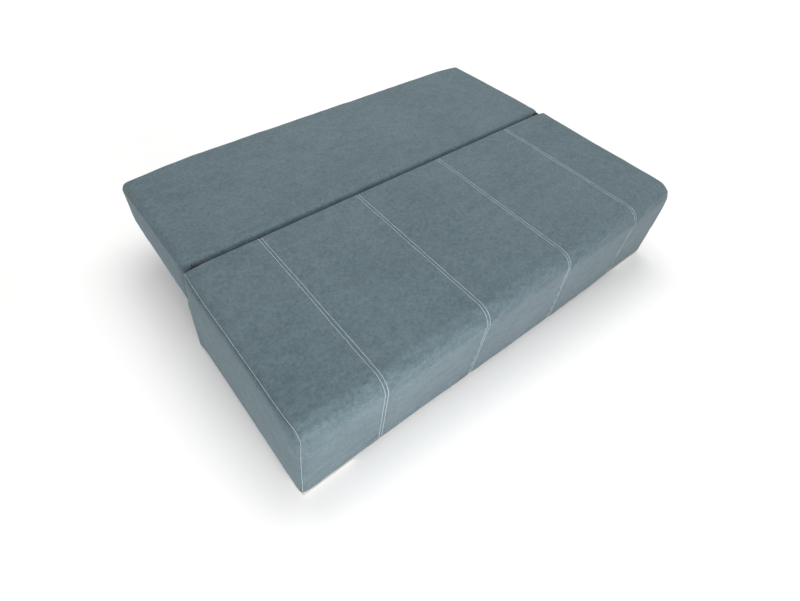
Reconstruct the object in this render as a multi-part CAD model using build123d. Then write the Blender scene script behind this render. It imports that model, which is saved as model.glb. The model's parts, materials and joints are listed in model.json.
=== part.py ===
from build123d import *
import math
import os

# Storage sofa bed, unfolded flat. All sizes in millimetres.
# X runs along the sofa, Y from the front edge of the seat to the outer end of the
# backrest, Z up. The origin is on the floor, under the middle of the whole bed.

# Driving dimensions of the whole
LENGTH = 1900.0
DEPTH = 1406.0
SEAT_DEPTH = 758.0
SEAT_TOP = 417.0
FLOOR_GAP = 25.0
CREASE_GAP = 12.0
CREASE_DROP = 12.0
CREASE_RADIUS = 20.0
SEAT_REAR_RADIUS = 26.0

# Seat form
FRONT_RADIUS = 62.0
FRONT_LEAN = 25.0
FRONT_OVERRUN = 4.0
END_RADIUS = 38.0
CORNER_RADIUS = 15.0
MIDDLE_PANEL = 435.0
PANEL_CROWN = 4.0
SEAM_WIDTH = 6.0
SEAM_DEPTH = 2.0
SKIN = 3.0
REAR_SKIRT_BOTTOM = 300.0

# Backrest form
BACK_END_INSET = 13.0
BACK_TOP_OUTER = 399.5
BACK_UNDER_JOINT = 184.0
BACK_UNDER_OUTER = 222.5
BACK_LOW_SETBACK = 77.0
BACK_OUTER_OVERRUN = 21.0
BACK_RADIUS = 40.0
BACK_LOW_JOINT_RADIUS = 25.0
BACK_CROWN = 5.0
REAR_COVER_RISE = 30.0

# Storage chest
CHEST_TOP = 250.0
BOARD = 18.0
FOOT_HEIGHT = 23.0
CHEST_HALF_LENGTH = 890.0
CHEST_FRONT_SETBACK = 62.0
CHEST_REAR_SETBACK = 24.0
PANEL_THICKNESS = 4.0
BATTEN = 12.0
BATTEN_PLACES = [-600.0, -200.0, 200.0, 600.0]
VENT_LENGTH = 120.0
VENT_HEIGHT = 22.0
VENT_LEVEL = 150.0
CORNER_BLOCK = 32.0
CORNER_BLOCK_EDGE = 10.0
FOOT_LENGTH = 200.0
FOOT_DEPTH = 86.0
FOOT_END_INSET = 7.0
FOOT_SETBACK = 10.0
FOOT_CHAMFER = 1.5
FOOT_CORNER = 4.0
FOOT_FRONT_CORNER = 8.0
REAR_FOOT_RADIUS = 34.0
REAR_FOOT_END_INSET = 60.0
REAR_FOOT_SETBACK = 25.0
SCREW_INSET = 36.0
SCREW_RECESS_RADIUS = 6.0
SCREW_RECESS_DEPTH = 8.0
REST_PAD = 3.0
REST_PAD_LENGTH = 60.0
REST_PAD_WIDTH = 12.0
REST_PAD_PLACES = [-700.0, -350.0, 350.0, 700.0]

# Seat and backrest frames
RAIL_HEIGHT = 70.0
RAIL = 28.0
SIDE_RAIL = 25.0
FRAME_HALF_LENGTH = 888.0
BACK_RAIL_HEIGHT = 60.0
BACK_FRAME_BOTTOM = 236.0
BACK_JOINT_PADDING = 8.0
BACK_OUTER_PADDING = 75.0
CROSS_RAIL_PLACES = [-580.0, 580.0]
CROSS_RAIL_DROP = 25.0
WEB = 2.5
WEB_WIDTH = 60.0
SEAT_STRAPS = (5, 14)
BACK_STRAPS = (4, 12)
FELT = 4.0
APRON_BOARD = 12.0
FRONT_PADDING = 15.0
SPACER_BLOCK = 80.0
SPACER_SETBACKS = [60.0, 240.0, 420.0]
CLOTH = 1.0
CLOTH_INSET = 5.0

# Hinge fittings at the two ends of the crease
PLATE = 4.0
WASHER = 0.5
PLAY = 0.05
PIVOT_RADIUS = 4.0
EYE_RADIUS = 8.0
TOOTH_TIP_RADIUS = 42.0
TOOTH_ROOT_RADIUS = 36.0
TOOTH_PITCH = 18.0
TOOTH_COUNT = 5
FIRST_TOOTH_ANGLE = -73.0
TOOTH_LEAN = 3.4
NOTCH_ANGLE = 4.0
PAWL_PIN_RADIUS = 3.0
PAWL_SWING = 10.0
STOP_STUD_RADIUS = 4.0
FIXING_RADIUS = 3.5
PACKER_MARGIN = 14.0
FIXING_HEAD = 4.0
FIXING_ACROSS = 11.0
PIVOT_HEAD = 5.3
PIVOT_ACROSS = 13.0
NUT_HEIGHT = 6.5
COLLAR_RADIUS = 5.0
PAWL_EYE_RADIUS = 8.0
POCKET_ROOM_INSIDE = 7.0
POCKET_ROOM_OUTSIDE = 8.0

# Places worked out from the driving dimensions
HALF = LENGTH / 2
FRONT = -DEPTH / 2
OUTER = DEPTH / 2
SEAT_REAR = FRONT + SEAT_DEPTH
CREASE = SEAT_REAR + CREASE_GAP / 2
BACK_JOINT = SEAT_REAR + CREASE_GAP
AXIS_Z = SEAT_TOP - CREASE_DROP
BACK_HALF = HALF - BACK_END_INSET
SEAMS = [MIDDLE_PANEL * n for n in (-1.5, -0.5, 0.5, 1.5)]
SEAM_SPLIT = HALF - 0.3 * END_RADIUS
APRON_BOTTOM = FLOOR_GAP + SKIN
FRAME_BOTTOM = CHEST_TOP + REST_PAD + CLOTH
FRAME_TOP = FRAME_BOTTOM + RAIL_HEIGHT
FOAM_BOTTOM = FRAME_TOP + 2 * WEB + FELT
FRONT_BOARD_Y = FRONT + FRONT_LEAN + FRONT_PADDING
FRAME_FRONT = FRONT_BOARD_Y + APRON_BOARD
FRAME_REAR = SEAT_REAR - SKIN
SIDE_BOARD_X = HALF - APRON_BOARD
CHEST_FRONT = FRONT + CHEST_FRONT_SETBACK
CHEST_REAR = CREASE - CHEST_REAR_SETBACK
BACK_FRAME_TOP = BACK_FRAME_BOTTOM + BACK_RAIL_HEIGHT
BACK_FOAM_BOTTOM = BACK_FRAME_TOP + 2 * WEB + FELT
BACK_FRAME_JOINT = BACK_JOINT + BACK_JOINT_PADDING
BACK_FRAME_OUTER = OUTER - BACK_OUTER_PADDING

# Layers of the hinge plates, outward from the end of the chest
BRACKET_X = CHEST_HALF_LENGTH
SEAT_ARM_X = BRACKET_X + PLATE + WASHER + 2 * PLAY
BACK_ARM_X = SEAT_ARM_X + PLATE + WASHER + 2 * PLAY
BOLT_HEAD_X = BACK_ARM_X + PLATE + WASHER + 2 * PLAY
POCKET_INNER = CHEST_HALF_LENGTH - POCKET_ROOM_INSIDE
POCKET_OUTER = BOLT_HEAD_X + POCKET_ROOM_OUTSIDE

# Fixing holes of the plates, as (y, z)
BRACKET_FIXINGS = [(-50, 140), (10, 140), (-50, 225), (10, 225)]
SEAT_ARM_FIXINGS = [(-60, 290), (-110, 290), (-160, 290)]
BACK_ARM_FIXINGS = [(120, 268), (165, 268), (210, 268)]
PAWL_PIVOT = (30.0, 335.0)
STOP_STUD = (92.5, 300.0)

os.makedirs("parts", exist_ok=True)
SAVED = []


def save(name, *solids):
    shape = solids[0] if len(solids) == 1 else Compound(children=list(solids))
    export_step(shape, f"parts/{name}.step")
    SAVED.append((name, sum(part.volume for part in solids)))


def block(x0, x1, y0, y1, z0, z1):
    centre = Pos((x0 + x1) / 2, (y0 + y1) / 2, (z0 + z1) / 2)
    return centre * Box(abs(x1 - x0), abs(y1 - y0), abs(z1 - z0))


def both_ends(shape):
    return [shape, mirror(shape, about=Plane.YZ)]


def save_pair(stem, right):
    save(stem + "_right", right)
    save(stem + "_left", mirror(right, about=Plane.YZ))


def rounded_face(points, radii):
    return make_face(FilletPolyline(*points, radius=radii, close=True))


def prism_yz(face, x0, x1):
    return Pos(x0, 0, 0) * extrude(Plane.YZ * face, amount=x1 - x0)


def crown_radius(half_span, rise):
    """Radius that bends two straight runs into one arc over most of the span."""
    turn = 2 * math.atan(rise / half_span)
    return 0.7 * half_span / math.tan(turn / 2)


def polar(radius, angle):
    turn = math.radians(angle)
    return (CREASE + radius * math.cos(turn), AXIS_Z + radius * math.sin(turn))


# Upholstered forms: each is the overlap of three profiles, drawn in by an inset


def scalloped_edge(half, level, crown, sign):
    """Arcs from seam to seam along X, crowned by sign times crown."""
    stations = [-half] + SEAMS + [half]
    edges = []
    for start, end in zip(stations, stations[1:]):
        middle = ((start + end) / 2, level + sign * crown)
        edges.append(ThreePointArc((start, level), middle, (end, level)))
    return edges


def closed_face(edges, corners):
    start = edges[0] @ 0
    end = edges[-1] @ 1
    outline = edges + [Polyline(end, *corners, start)]
    return make_face(outline)


def corner_fillet(face, corner, radius):
    vertex = face.vertices().sort_by_distance(Vector(*corner))[0]
    return fillet(vertex, radius)


def along_y(face):
    return Pos(0, DEPTH, 0) * extrude(Plane.XZ * face, amount=2 * DEPTH)


def seat_side_face(inset):
    """Governs only the rounded edges: its flats stand outside the crowned panels."""
    top = SEAT_TOP + PANEL_CROWN - inset
    rear = SEAT_REAR - inset
    front = FRONT - FRONT_OVERRUN - PANEL_CROWN / 2 + inset
    foot = FLOOR_GAP if inset == 0 else FLOOR_GAP - SKIN
    points = [(rear, foot), (rear, top), ((front + rear) / 2, top + PANEL_CROWN), (front, top),
              (front + FRONT_LEAN, foot)]
    crown = crown_radius((rear - front) / 2, PANEL_CROWN)
    radii = [0, SEAT_REAR_RADIUS - inset, crown, FRONT_RADIUS - inset, 0]
    return rounded_face(points, radii)


def seat_across_face(inset):
    half = HALF - inset
    level = SEAT_TOP - inset
    edges = scalloped_edge(half, level, PANEL_CROWN, 1)
    face = closed_face(edges, [(half, 0), (-half, 0)])
    face = corner_fillet(face, (half, level), END_RADIUS - inset)
    return corner_fillet(face, (-half, level), END_RADIUS - inset)


def seat_plan_face(inset):
    half = HALF - inset
    front = FRONT - FRONT_OVERRUN + PANEL_CROWN + inset
    edges = scalloped_edge(half, front, PANEL_CROWN, -1)
    face = closed_face(edges, [(half, OUTER), (-half, OUTER)])
    face = corner_fillet(face, (half, front), CORNER_RADIUS - inset)
    return corner_fillet(face, (-half, front), CORNER_RADIUS - inset)


def seat_form(inset):
    side = prism_yz(seat_side_face(inset), -HALF, HALF)
    drop = SEAT_TOP - FLOOR_GAP
    lean = Vector(0, FRONT_LEAN, -drop)
    face = Pos(0, -FRONT_LEAN, SEAT_TOP + drop) * seat_plan_face(inset)
    plan = extrude(face, amount=2.5 * lean.length, dir=lean)
    return side & along_y(seat_across_face(inset)) & plan


def seam_grooves():
    core = seat_form(SEAM_DEPTH)
    half = SEAM_WIDTH / 2
    slabs = [block(x - half, x + half, FRONT - 20, SEAT_REAR - SEAT_REAR_RADIUS, 0, SEAT_TOP + 20)
             for x in SEAMS]
    return [slab - core for slab in slabs]


def back_side_face(inset):
    joint = BACK_JOINT + inset
    reach = OUTER + BACK_OUTER_OVERRUN - 1.1 * inset
    points = [
        (joint, BACK_UNDER_JOINT + inset),
        (joint, SEAT_TOP - inset),
        ((joint + reach) / 2, (SEAT_TOP + BACK_TOP_OUTER) / 2 + BACK_CROWN - inset),
        (reach, BACK_TOP_OUTER - inset),
        (reach - BACK_LOW_SETBACK, BACK_UNDER_OUTER + inset),
    ]
    crown = crown_radius((reach - joint) / 2, BACK_CROWN)
    radii = [BACK_LOW_JOINT_RADIUS - inset, CREASE_RADIUS - inset, crown,
             BACK_RADIUS - inset, BACK_RADIUS - inset]
    return rounded_face(points, radii)


def sloping_along_y(face, rise):
    run = OUTER - BACK_JOINT
    slope = Vector(0, run, rise)
    start = Pos(0, BACK_JOINT - run, -rise) * (Plane.XZ * face)
    return extrude(start, amount=3 * slope.length, dir=slope)


def back_form(inset):
    half = BACK_HALF - inset
    edge = BACK_RADIUS - inset
    side = prism_yz(back_side_face(inset), -half, half)
    plan = rounded_face([(-half, FRONT), (half, FRONT), (half, OUTER - inset),
                         (-half, OUTER - inset)], [0, 0, edge, edge])
    plan = extrude(plan, amount=LENGTH)
    top = SEAT_TOP + BACK_CROWN - inset
    above = rounded_face([(-half, -LENGTH), (half, -LENGTH), (half, top), (-half, top)],
                         [0, 0, edge, edge])
    low = BACK_UNDER_JOINT + inset
    below = rounded_face([(-half, low), (half, low), (half, LENGTH), (-half, LENGTH)],
                         [edge / 2, edge / 2, 0, 0])
    above = sloping_along_y(above, BACK_TOP_OUTER - SEAT_TOP)
    below = sloping_along_y(below, BACK_UNDER_OUTER - BACK_UNDER_JOINT)
    return side & plan & above & below


# Pockets in the upholstery for the hinge fittings


def pocket(points):
    right = prism_yz(make_face(Polyline(*points, close=True)), POCKET_INNER, POCKET_OUTER)
    return both_ends(right)


def seat_pocket():
    return pocket([(CREASE, AXIS_Z + 10), (50, AXIS_Z + 10), (38, 403), (14, 402), (-22, 372),
                   (-66, 322), (-66, 270), (CREASE, 270)])


def back_pocket():
    return pocket([(CREASE, AXIS_Z + 10), (72, AXIS_Z + 10), (112, 398), (132, 306), (232, 306),
                   (232, 232), (CREASE, 232)])


def without(shape, cutters):
    for cutter in cutters:
        shape = shape - cutter
    return shape


# Storage chest


def make_chest():
    inner = CHEST_HALF_LENGTH - BOARD
    front = block(-inner, inner, CHEST_FRONT, CHEST_FRONT + BOARD, FOOT_HEIGHT, CHEST_TOP)
    save("chest_front_board", front)
    rear = block(-inner, inner, CHEST_REAR - BOARD, CHEST_REAR, FOOT_HEIGHT, CHEST_TOP)
    vent = Plane.XZ * SlotOverall(VENT_LENGTH, VENT_HEIGHT)
    vent = extrude(vent, amount=DEPTH, both=True)
    vents = [Pos(x, 0, VENT_LEVEL) * vent for x in BATTEN_PLACES]
    save("chest_rear_board", without(rear, vents))
    side = block(inner, CHEST_HALF_LENGTH, CHEST_FRONT, CHEST_REAR, FOOT_HEIGHT, CHEST_TOP)
    holes = [fixing_bore(y, z, inner, CHEST_HALF_LENGTH, FIXING_RADIUS) for y, z in BRACKET_FIXINGS]
    save_pair("chest_side_board", without(side, holes))
    y0 = CHEST_FRONT + BOARD
    y1 = CHEST_REAR - BOARD
    floor = FOOT_HEIGHT + BATTEN
    save("chest_bottom_panel", block(-inner, inner, y0, y1, floor, floor + PANEL_THICKNESS))
    battens = [block(-inner, inner, y0, y0 + BATTEN * 2, FOOT_HEIGHT, floor),
               block(-inner, inner, y1 - BATTEN * 2, y1, FOOT_HEIGHT, floor)]
    for x in BATTEN_PLACES:
        battens.append(block(x - BATTEN * 2, x + BATTEN * 2, y0 + BATTEN * 2, y1 - BATTEN * 2,
                             FOOT_HEIGHT, floor))
    save("chest_bottom_battens", *battens)
    post = make_face(Polyline((0, 0), (CORNER_BLOCK, 0), (CORNER_BLOCK, CORNER_BLOCK_EDGE),
                              (CORNER_BLOCK_EDGE, CORNER_BLOCK), (0, CORNER_BLOCK), close=True))
    post = extrude(post, amount=CHEST_TOP - floor - PANEL_THICKNESS)
    base = floor + PANEL_THICKNESS
    posts = [Pos(-inner, y0, base) * post, Pos(-inner, y1, base) * mirror(post, about=Plane.XZ)]
    posts += [mirror(part, about=Plane.YZ) for part in posts]
    save("chest_corner_blocks", *posts)
    pad = extrude(SlotOverall(REST_PAD_LENGTH, REST_PAD_WIDTH), amount=REST_PAD)
    pads = [Pos(x, y, CHEST_TOP) * pad for x in REST_PAD_PLACES
            for y in (CHEST_FRONT + BOARD / 2, CHEST_REAR - BOARD / 2)]
    save("seat_rest_pads", *pads)


def screw_recesses():
    inner_end = HALF - FOOT_END_INSET - FOOT_LENGTH
    places = [(inner_end + SCREW_INSET, CHEST_FRONT + BOARD / 2),
              (CHEST_HALF_LENGTH - SCREW_INSET, CHEST_FRONT + BOARD / 2),
              (CHEST_HALF_LENGTH - BOARD / 2, CHEST_FRONT + SCREW_INSET),
              (CHEST_HALF_LENGTH - REAR_FOOT_END_INSET, CHEST_REAR - BOARD / 2)]
    return [Pos(x, y, 0) * extrude(Circle(SCREW_RECESS_RADIUS), amount=SCREW_RECESS_DEPTH)
            for x, y in places]


def make_feet():
    x1 = HALF - FOOT_END_INSET
    x0 = x1 - FOOT_LENGTH
    y0 = FRONT + FRONT_LEAN + FOOT_SETBACK
    front = rounded_face([(x0, y0), (x1, y0), (x1, y0 + FOOT_DEPTH), (x0, y0 + FOOT_DEPTH)],
                         [FOOT_CORNER, FOOT_FRONT_CORNER, FOOT_CORNER, FOOT_CORNER])
    front = extrude(front, amount=FOOT_HEIGHT)
    front = chamfer(front.edges().group_by(Axis.Z)[0], FOOT_CHAMFER)
    rear_x = CHEST_HALF_LENGTH - REAR_FOOT_END_INSET
    rear = extrude(Circle(REAR_FOOT_RADIUS), amount=FOOT_HEIGHT)
    rear = Pos(rear_x, CHEST_REAR - REAR_FOOT_SETBACK, 0) * rear
    rear = rear & block(0, CHEST_HALF_LENGTH, -DEPTH, CHEST_REAR, 0, FOOT_HEIGHT)
    save_pair("front_foot", without(front, screw_recesses()))
    save_pair("rear_foot", without(rear, screw_recesses()))


# Hinge fittings


def fixing_bore(y, z, x0, x1, radius):
    return Pos(x0 - 1, y, z) * extrude(Plane.YZ * Circle(radius), amount=x1 - x0 + 2)


def disc(y, z, x0, x1, radius):
    return Pos(x0, y, z) * extrude(Plane.YZ * Circle(radius), amount=x1 - x0)


def hex_bolt(y, z, head_x, head, across, shank_radius, tip_x):
    body = Pos(head_x, y, z) * extrude(Plane.YZ * RegularPolygon(across / 2, 6, major_radius=False),
                                       amount=head)
    return body + disc(y, z, tip_x, head_x, shank_radius)


def base_bracket():
    """Plate on the chest with ears for the pivot, the pawl pin and the stop stud."""
    outline = rounded_face(
        [(-72, 118), (32, 118), (32, 226), (76, 258), (99, 284), (99, 314), (71, 336),
         (CREASE + EYE_RADIUS, AXIS_Z), (CREASE - EYE_RADIUS, AXIS_Z), (48, 358), (19, 347),
         (19, 322), (8, 244), (-72, 244)],
        [10, 10, 20, 20, 8, 8, 10, 0, 0, 10, 8, 10, 20, 10])
    end = BRACKET_X + PLATE
    plate = prism_yz(outline, BRACKET_X, end)
    plate = plate + disc(CREASE, AXIS_Z, BRACKET_X, end, EYE_RADIUS)
    places = [(CREASE, AXIS_Z, PIVOT_RADIUS)]
    places += [(y, z, FIXING_RADIUS) for y, z in BRACKET_FIXINGS]
    places += [PAWL_PIVOT + (PAWL_PIN_RADIUS,), STOP_STUD + (STOP_STUD_RADIUS - 1,)]
    lightening = Pos(0, -20, 182) * (Plane.YZ * SlotOverall(60, 24))
    plate = plate - extrude(lightening, amount=LENGTH)
    return without(plate, [fixing_bore(y, z, BRACKET_X, end, r) for y, z, r in places])


def seat_arm():
    outline = rounded_face(
        [(CREASE, AXIS_Z + EYE_RADIUS), (-20, 342), (-48, 306), (-180, 306), (-180, 272),
         (-34, 272), (-4, 318), (CREASE + 5, AXIS_Z - 6)],
        [0, 30, 40, 8, 8, 30, 40, 0])
    end = SEAT_ARM_X + PLATE
    plate = prism_yz(outline, SEAT_ARM_X, end)
    plate = plate + disc(CREASE, AXIS_Z, SEAT_ARM_X, end, EYE_RADIUS)
    plate = plate - fixing_bore(CREASE, AXIS_Z, SEAT_ARM_X, end, PIVOT_RADIUS + PLAY)
    holes = [fixing_bore(y, z, SEAT_ARM_X, end, FIXING_RADIUS) for y, z in SEAT_ARM_FIXINGS]
    return without(plate, holes)


def tooth_outline():
    """Saw teeth round the axis: each notch has a steep face, a short root and a long ramp."""
    points = [polar(TOOTH_TIP_RADIUS, FIRST_TOOTH_ANGLE + 9)]
    for step in range(TOOTH_COUNT):
        face = FIRST_TOOTH_ANGLE - step * TOOTH_PITCH
        points.append(polar(TOOTH_TIP_RADIUS, face + TOOTH_LEAN))
        points.append(polar(TOOTH_ROOT_RADIUS, face))
        points.append(polar(TOOTH_ROOT_RADIUS, face - NOTCH_ANGLE))
        points.append(polar(TOOTH_TIP_RADIUS, face - TOOTH_PITCH + TOOTH_LEAN + 1.4))
    last = face - TOOTH_PITCH
    points.append(polar(TOOTH_TIP_RADIUS, last - 1))
    points.append(polar(EYE_RADIUS, last - 19))
    points.append(polar(EYE_RADIUS, FIRST_TOOTH_ANGLE + 58))
    return make_face(Polyline(*points, close=True))


def back_arm():
    neck = rounded_face(
        [(CREASE, AXIS_Z + EYE_RADIUS), (106, 393), (126, 292), (228, 292), (228, 244),
         (100, 244), (92, 374), (CREASE, AXIS_Z - EYE_RADIUS)],
        [0, 24, 20, 8, 8, 20, 30, 0])
    end = BACK_ARM_X + PLATE
    plate = prism_yz(neck, BACK_ARM_X, end) + prism_yz(tooth_outline(), BACK_ARM_X, end)
    plate = plate + disc(CREASE, AXIS_Z, BACK_ARM_X, end, EYE_RADIUS)
    plate = plate - fixing_bore(CREASE, AXIS_Z, BACK_ARM_X, end, PIVOT_RADIUS + PLAY)
    holes = [fixing_bore(y, z, BACK_ARM_X, end, FIXING_RADIUS) for y, z in BACK_ARM_FIXINGS]
    return without(plate, holes)


def pawl():
    """Drawn engaged, with its tip in a notch, then turned back to its released rest."""
    pin_y, pin_z = PAWL_PIVOT
    notch = FIRST_TOOTH_ANGLE
    outline = Polyline(
        polar(TOOTH_ROOT_RADIUS + 0.7, notch - 0.5),
        polar(TOOTH_ROOT_RADIUS + 0.7, notch - 3.3),
        polar(TOOTH_TIP_RADIUS + 2, notch - 12.5),
        (pin_y - 4, pin_z + 6),
        (pin_y + 5, pin_z - 5),
        polar(TOOTH_TIP_RADIUS + 8, notch + 3),
        close=True)
    end = BACK_ARM_X + PLATE
    plate = prism_yz(make_face(outline), BACK_ARM_X, end)
    plate = plate + disc(pin_y, pin_z, BACK_ARM_X, end, PAWL_EYE_RADIUS)
    plate = plate - fixing_bore(pin_y, pin_z, BACK_ARM_X, end, PAWL_PIN_RADIUS + PLAY)
    pivot = Axis((0, pin_y, pin_z), (1, 0, 0))
    return plate.rotate(pivot, -PAWL_SWING)


def bracket_studs():
    """Pawl pin with a collar on each side of the pawl, and the stop stud of the backrest."""
    pin_y, pin_z = PAWL_PIVOT
    end = BACK_ARM_X + PLATE
    pin = disc(pin_y, pin_z, BRACKET_X, end + PLAY, PAWL_PIN_RADIUS)
    pin = pin + disc(pin_y, pin_z, BRACKET_X + PLATE, BACK_ARM_X - PLAY, COLLAR_RADIUS)
    pin = pin + disc(pin_y, pin_z, end + PLAY, end + 1.5, COLLAR_RADIUS)
    stud = disc(*STOP_STUD, BRACKET_X, BRACKET_X + PLATE, STOP_STUD_RADIUS - 1)
    stud = stud + disc(*STOP_STUD, BRACKET_X + PLATE, end, STOP_STUD_RADIUS)
    return both_ends(pin) + both_ends(stud)


def make_hinges():
    save_pair("base_bracket", base_bracket())
    save_pair("seat_arm", seat_arm())
    save_pair("back_arm", back_arm())
    save_pair("pawl", pawl())
    tip = BRACKET_X - NUT_HEIGHT - 2 * PLAY
    bolt = hex_bolt(CREASE, AXIS_Z, BOLT_HEAD_X, PIVOT_HEAD, PIVOT_ACROSS, PIVOT_RADIUS, tip)
    save_pair("pivot_bolt", bolt)
    nut = Plane.YZ * RegularPolygon(PIVOT_ACROSS / 2, 6, major_radius=False)
    nut = Pos(BRACKET_X - NUT_HEIGHT, CREASE, AXIS_Z) * extrude(nut, amount=NUT_HEIGHT)
    nut = nut - fixing_bore(CREASE, AXIS_Z, tip, BRACKET_X, PIVOT_RADIUS)
    washers = []
    for x in (SEAT_ARM_X, BACK_ARM_X, BOLT_HEAD_X):
        start = x - WASHER - PLAY
        ring = disc(CREASE, AXIS_Z, start, start + WASHER, EYE_RADIUS - 1)
        washers += both_ends(ring - fixing_bore(CREASE, AXIS_Z, start, start + WASHER,
                                                PIVOT_RADIUS + PLAY))
    save("pivot_nuts_and_washers", *both_ends(nut), *washers)
    save("bracket_studs", *bracket_studs())
    inner = CHEST_HALF_LENGTH - BOARD
    bolts = [hex_bolt(y, z, BRACKET_X + PLATE, FIXING_HEAD, FIXING_ACROSS, FIXING_RADIUS, inner)
             for y, z in BRACKET_FIXINGS]
    save("base_bracket_bolts", *bolts, *[mirror(part, about=Plane.YZ) for part in bolts])
    save_arm_fixings("seat_arm", SEAT_ARM_FIXINGS, SEAT_ARM_X, SIDE_RAIL)
    save_arm_fixings("back_arm", BACK_ARM_FIXINGS, BACK_ARM_X, RAIL)


def save_arm_fixings(stem, places, arm_x, rail):
    """Bolts through the side rail, and the packer that fills the space behind the arm."""
    bolts = []
    for y, z in places:
        bolts += both_ends(hex_bolt(y, z, arm_x + PLATE, FIXING_HEAD, FIXING_ACROSS,
                                    FIXING_RADIUS, FRAME_HALF_LENGTH - rail))
    save(stem + "_bolts", *bolts)
    first = min(y for y, z in places) - PACKER_MARGIN
    last = max(y for y, z in places) + PACKER_MARGIN
    level = places[0][1]
    packer = block(FRAME_HALF_LENGTH, arm_x, first, last, level - PACKER_MARGIN,
                   level + PACKER_MARGIN)
    holes = [fixing_bore(y, z, FRAME_HALF_LENGTH, arm_x, FIXING_RADIUS) for y, z in places]
    save(stem + "_packers", *both_ends(without(packer, holes)))


# Seat


def frame_rails(prefix, front, rear, bottom, height, side_rail, fixings):
    top = bottom + height
    inner = FRAME_HALF_LENGTH - side_rail
    first = block(-inner, inner, front, front + RAIL, bottom, top)
    last = block(-inner, inner, rear - RAIL, rear, bottom, top)
    side = block(inner, FRAME_HALF_LENGTH, front, rear, bottom, top)
    holes = [fixing_bore(y, z, inner, FRAME_HALF_LENGTH, FIXING_RADIUS) for y, z in fixings]
    save_pair(prefix + "_side_rail", without(side, holes))
    crosses = [block(x - RAIL / 2, x + RAIL / 2, front + RAIL, rear - RAIL, bottom,
                     top - CROSS_RAIL_DROP) for x in CROSS_RAIL_PLACES]
    save(prefix + "_cross_rails", *crosses)
    return first, last


def webbing(front, rear, level, straps):
    """Straps along the sofa, and the straps across them in a layer above."""
    half = FRAME_HALF_LENGTH
    lengthways, crossways = straps
    low = [block(-half, half, y - WEB_WIDTH / 2, y + WEB_WIDTH / 2, level, level + WEB)
           for y in spread(front, rear, lengthways)]
    high = [block(x - WEB_WIDTH / 2, x + WEB_WIDTH / 2, front, rear, level + WEB, level + 2 * WEB)
            for x in spread(-half, half, crossways)]
    return low + high


def spread(low, high, count):
    return [low + (high - low) * (n + 0.5) / count for n in range(count)]


def make_seat_frame():
    first, last = frame_rails("seat", FRAME_FRONT, FRAME_REAR, FRAME_BOTTOM, RAIL_HEIGHT,
                              SIDE_RAIL, SEAT_ARM_FIXINGS)
    save("seat_front_rail", first)
    save("seat_rear_rail", last)
    straps = webbing(FRAME_FRONT, FRAME_REAR, FRAME_TOP, SEAT_STRAPS)
    save("seat_webbing", *straps)
    felt = block(-SIDE_BOARD_X, SIDE_BOARD_X, FRONT_BOARD_Y, FRAME_REAR, FRAME_TOP + 2 * WEB,
                 FOAM_BOTTOM)
    save("seat_felt_pad", without(felt, seat_pocket()))
    edge = FRAME_HALF_LENGTH - CLOTH_INSET
    cloth = block(-edge, edge, FRAME_FRONT + CLOTH_INSET, FRAME_REAR - CLOTH_INSET,
                  FRAME_BOTTOM - CLOTH, FRAME_BOTTOM)
    save("seat_underside_cloth", cloth)


def make_aprons():
    top = FRAME_TOP + 2 * WEB
    front = block(-SIDE_BOARD_X, SIDE_BOARD_X, FRONT_BOARD_Y, FRAME_FRONT, APRON_BOTTOM, top)
    save("front_apron_board", front)
    x0 = SIDE_BOARD_X - APRON_BOARD
    side = block(x0, SIDE_BOARD_X, FRAME_FRONT, FRAME_REAR, APRON_BOTTOM, top)
    save_pair("side_apron_board", side)
    spacers = []
    for setback in SPACER_SETBACKS:
        y = FRAME_FRONT + setback
        spacers += both_ends(block(FRAME_HALF_LENGTH, x0, y - SPACER_BLOCK / 2,
                                   y + SPACER_BLOCK / 2, FRAME_BOTTOM + 4, FRAME_TOP))
    save("apron_spacer_blocks", *spacers)


def make_seat_upholstery():
    outer = seat_form(0)
    inner = seat_form(SKIN)
    skin = outer - inner
    skin = without(skin, seam_grooves() + seat_pocket())
    middle = skin & block(-SEAM_SPLIT, SEAM_SPLIT, -DEPTH, DEPTH, 0, DEPTH)
    opening = block(-SEAM_SPLIT, SEAM_SPLIT, FRAME_REAR - 10, SEAT_REAR + 10, 0, REAR_SKIRT_BOTTOM)
    save("seat_cover", middle - opening)
    save_pair("side_cover", skin & block(SEAM_SPLIT, HALF + 5, -DEPTH, DEPTH, 0, DEPTH))
    foam = inner & block(-HALF, HALF, -DEPTH, DEPTH, FOAM_BOTTOM, DEPTH)
    save("seat_foam", without(foam, seat_pocket()))
    front = inner & block(-HALF, HALF, -DEPTH, FRONT_BOARD_Y, APRON_BOTTOM, FOAM_BOTTOM)
    side = inner & block(SIDE_BOARD_X, HALF, FRONT_BOARD_Y, FRAME_REAR, APRON_BOTTOM,
                         FOAM_BOTTOM)
    save("apron_padding", front, *both_ends(side))


# Backrest


def make_backrest_frame():
    first, last = frame_rails("back", BACK_FRAME_JOINT, BACK_FRAME_OUTER, BACK_FRAME_BOTTOM,
                              BACK_RAIL_HEIGHT, RAIL, BACK_ARM_FIXINGS)
    save("back_joint_rail", first)
    save("back_outer_rail", last)
    straps = webbing(BACK_FRAME_JOINT, BACK_FRAME_OUTER, BACK_FRAME_TOP, BACK_STRAPS)
    save("back_webbing", *straps)
    felt = block(-FRAME_HALF_LENGTH, FRAME_HALF_LENGTH, BACK_FRAME_JOINT, BACK_FRAME_OUTER,
                 BACK_FRAME_TOP + 2 * WEB, BACK_FOAM_BOTTOM)
    save("back_felt_pad", without(felt, back_pocket()))


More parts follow.
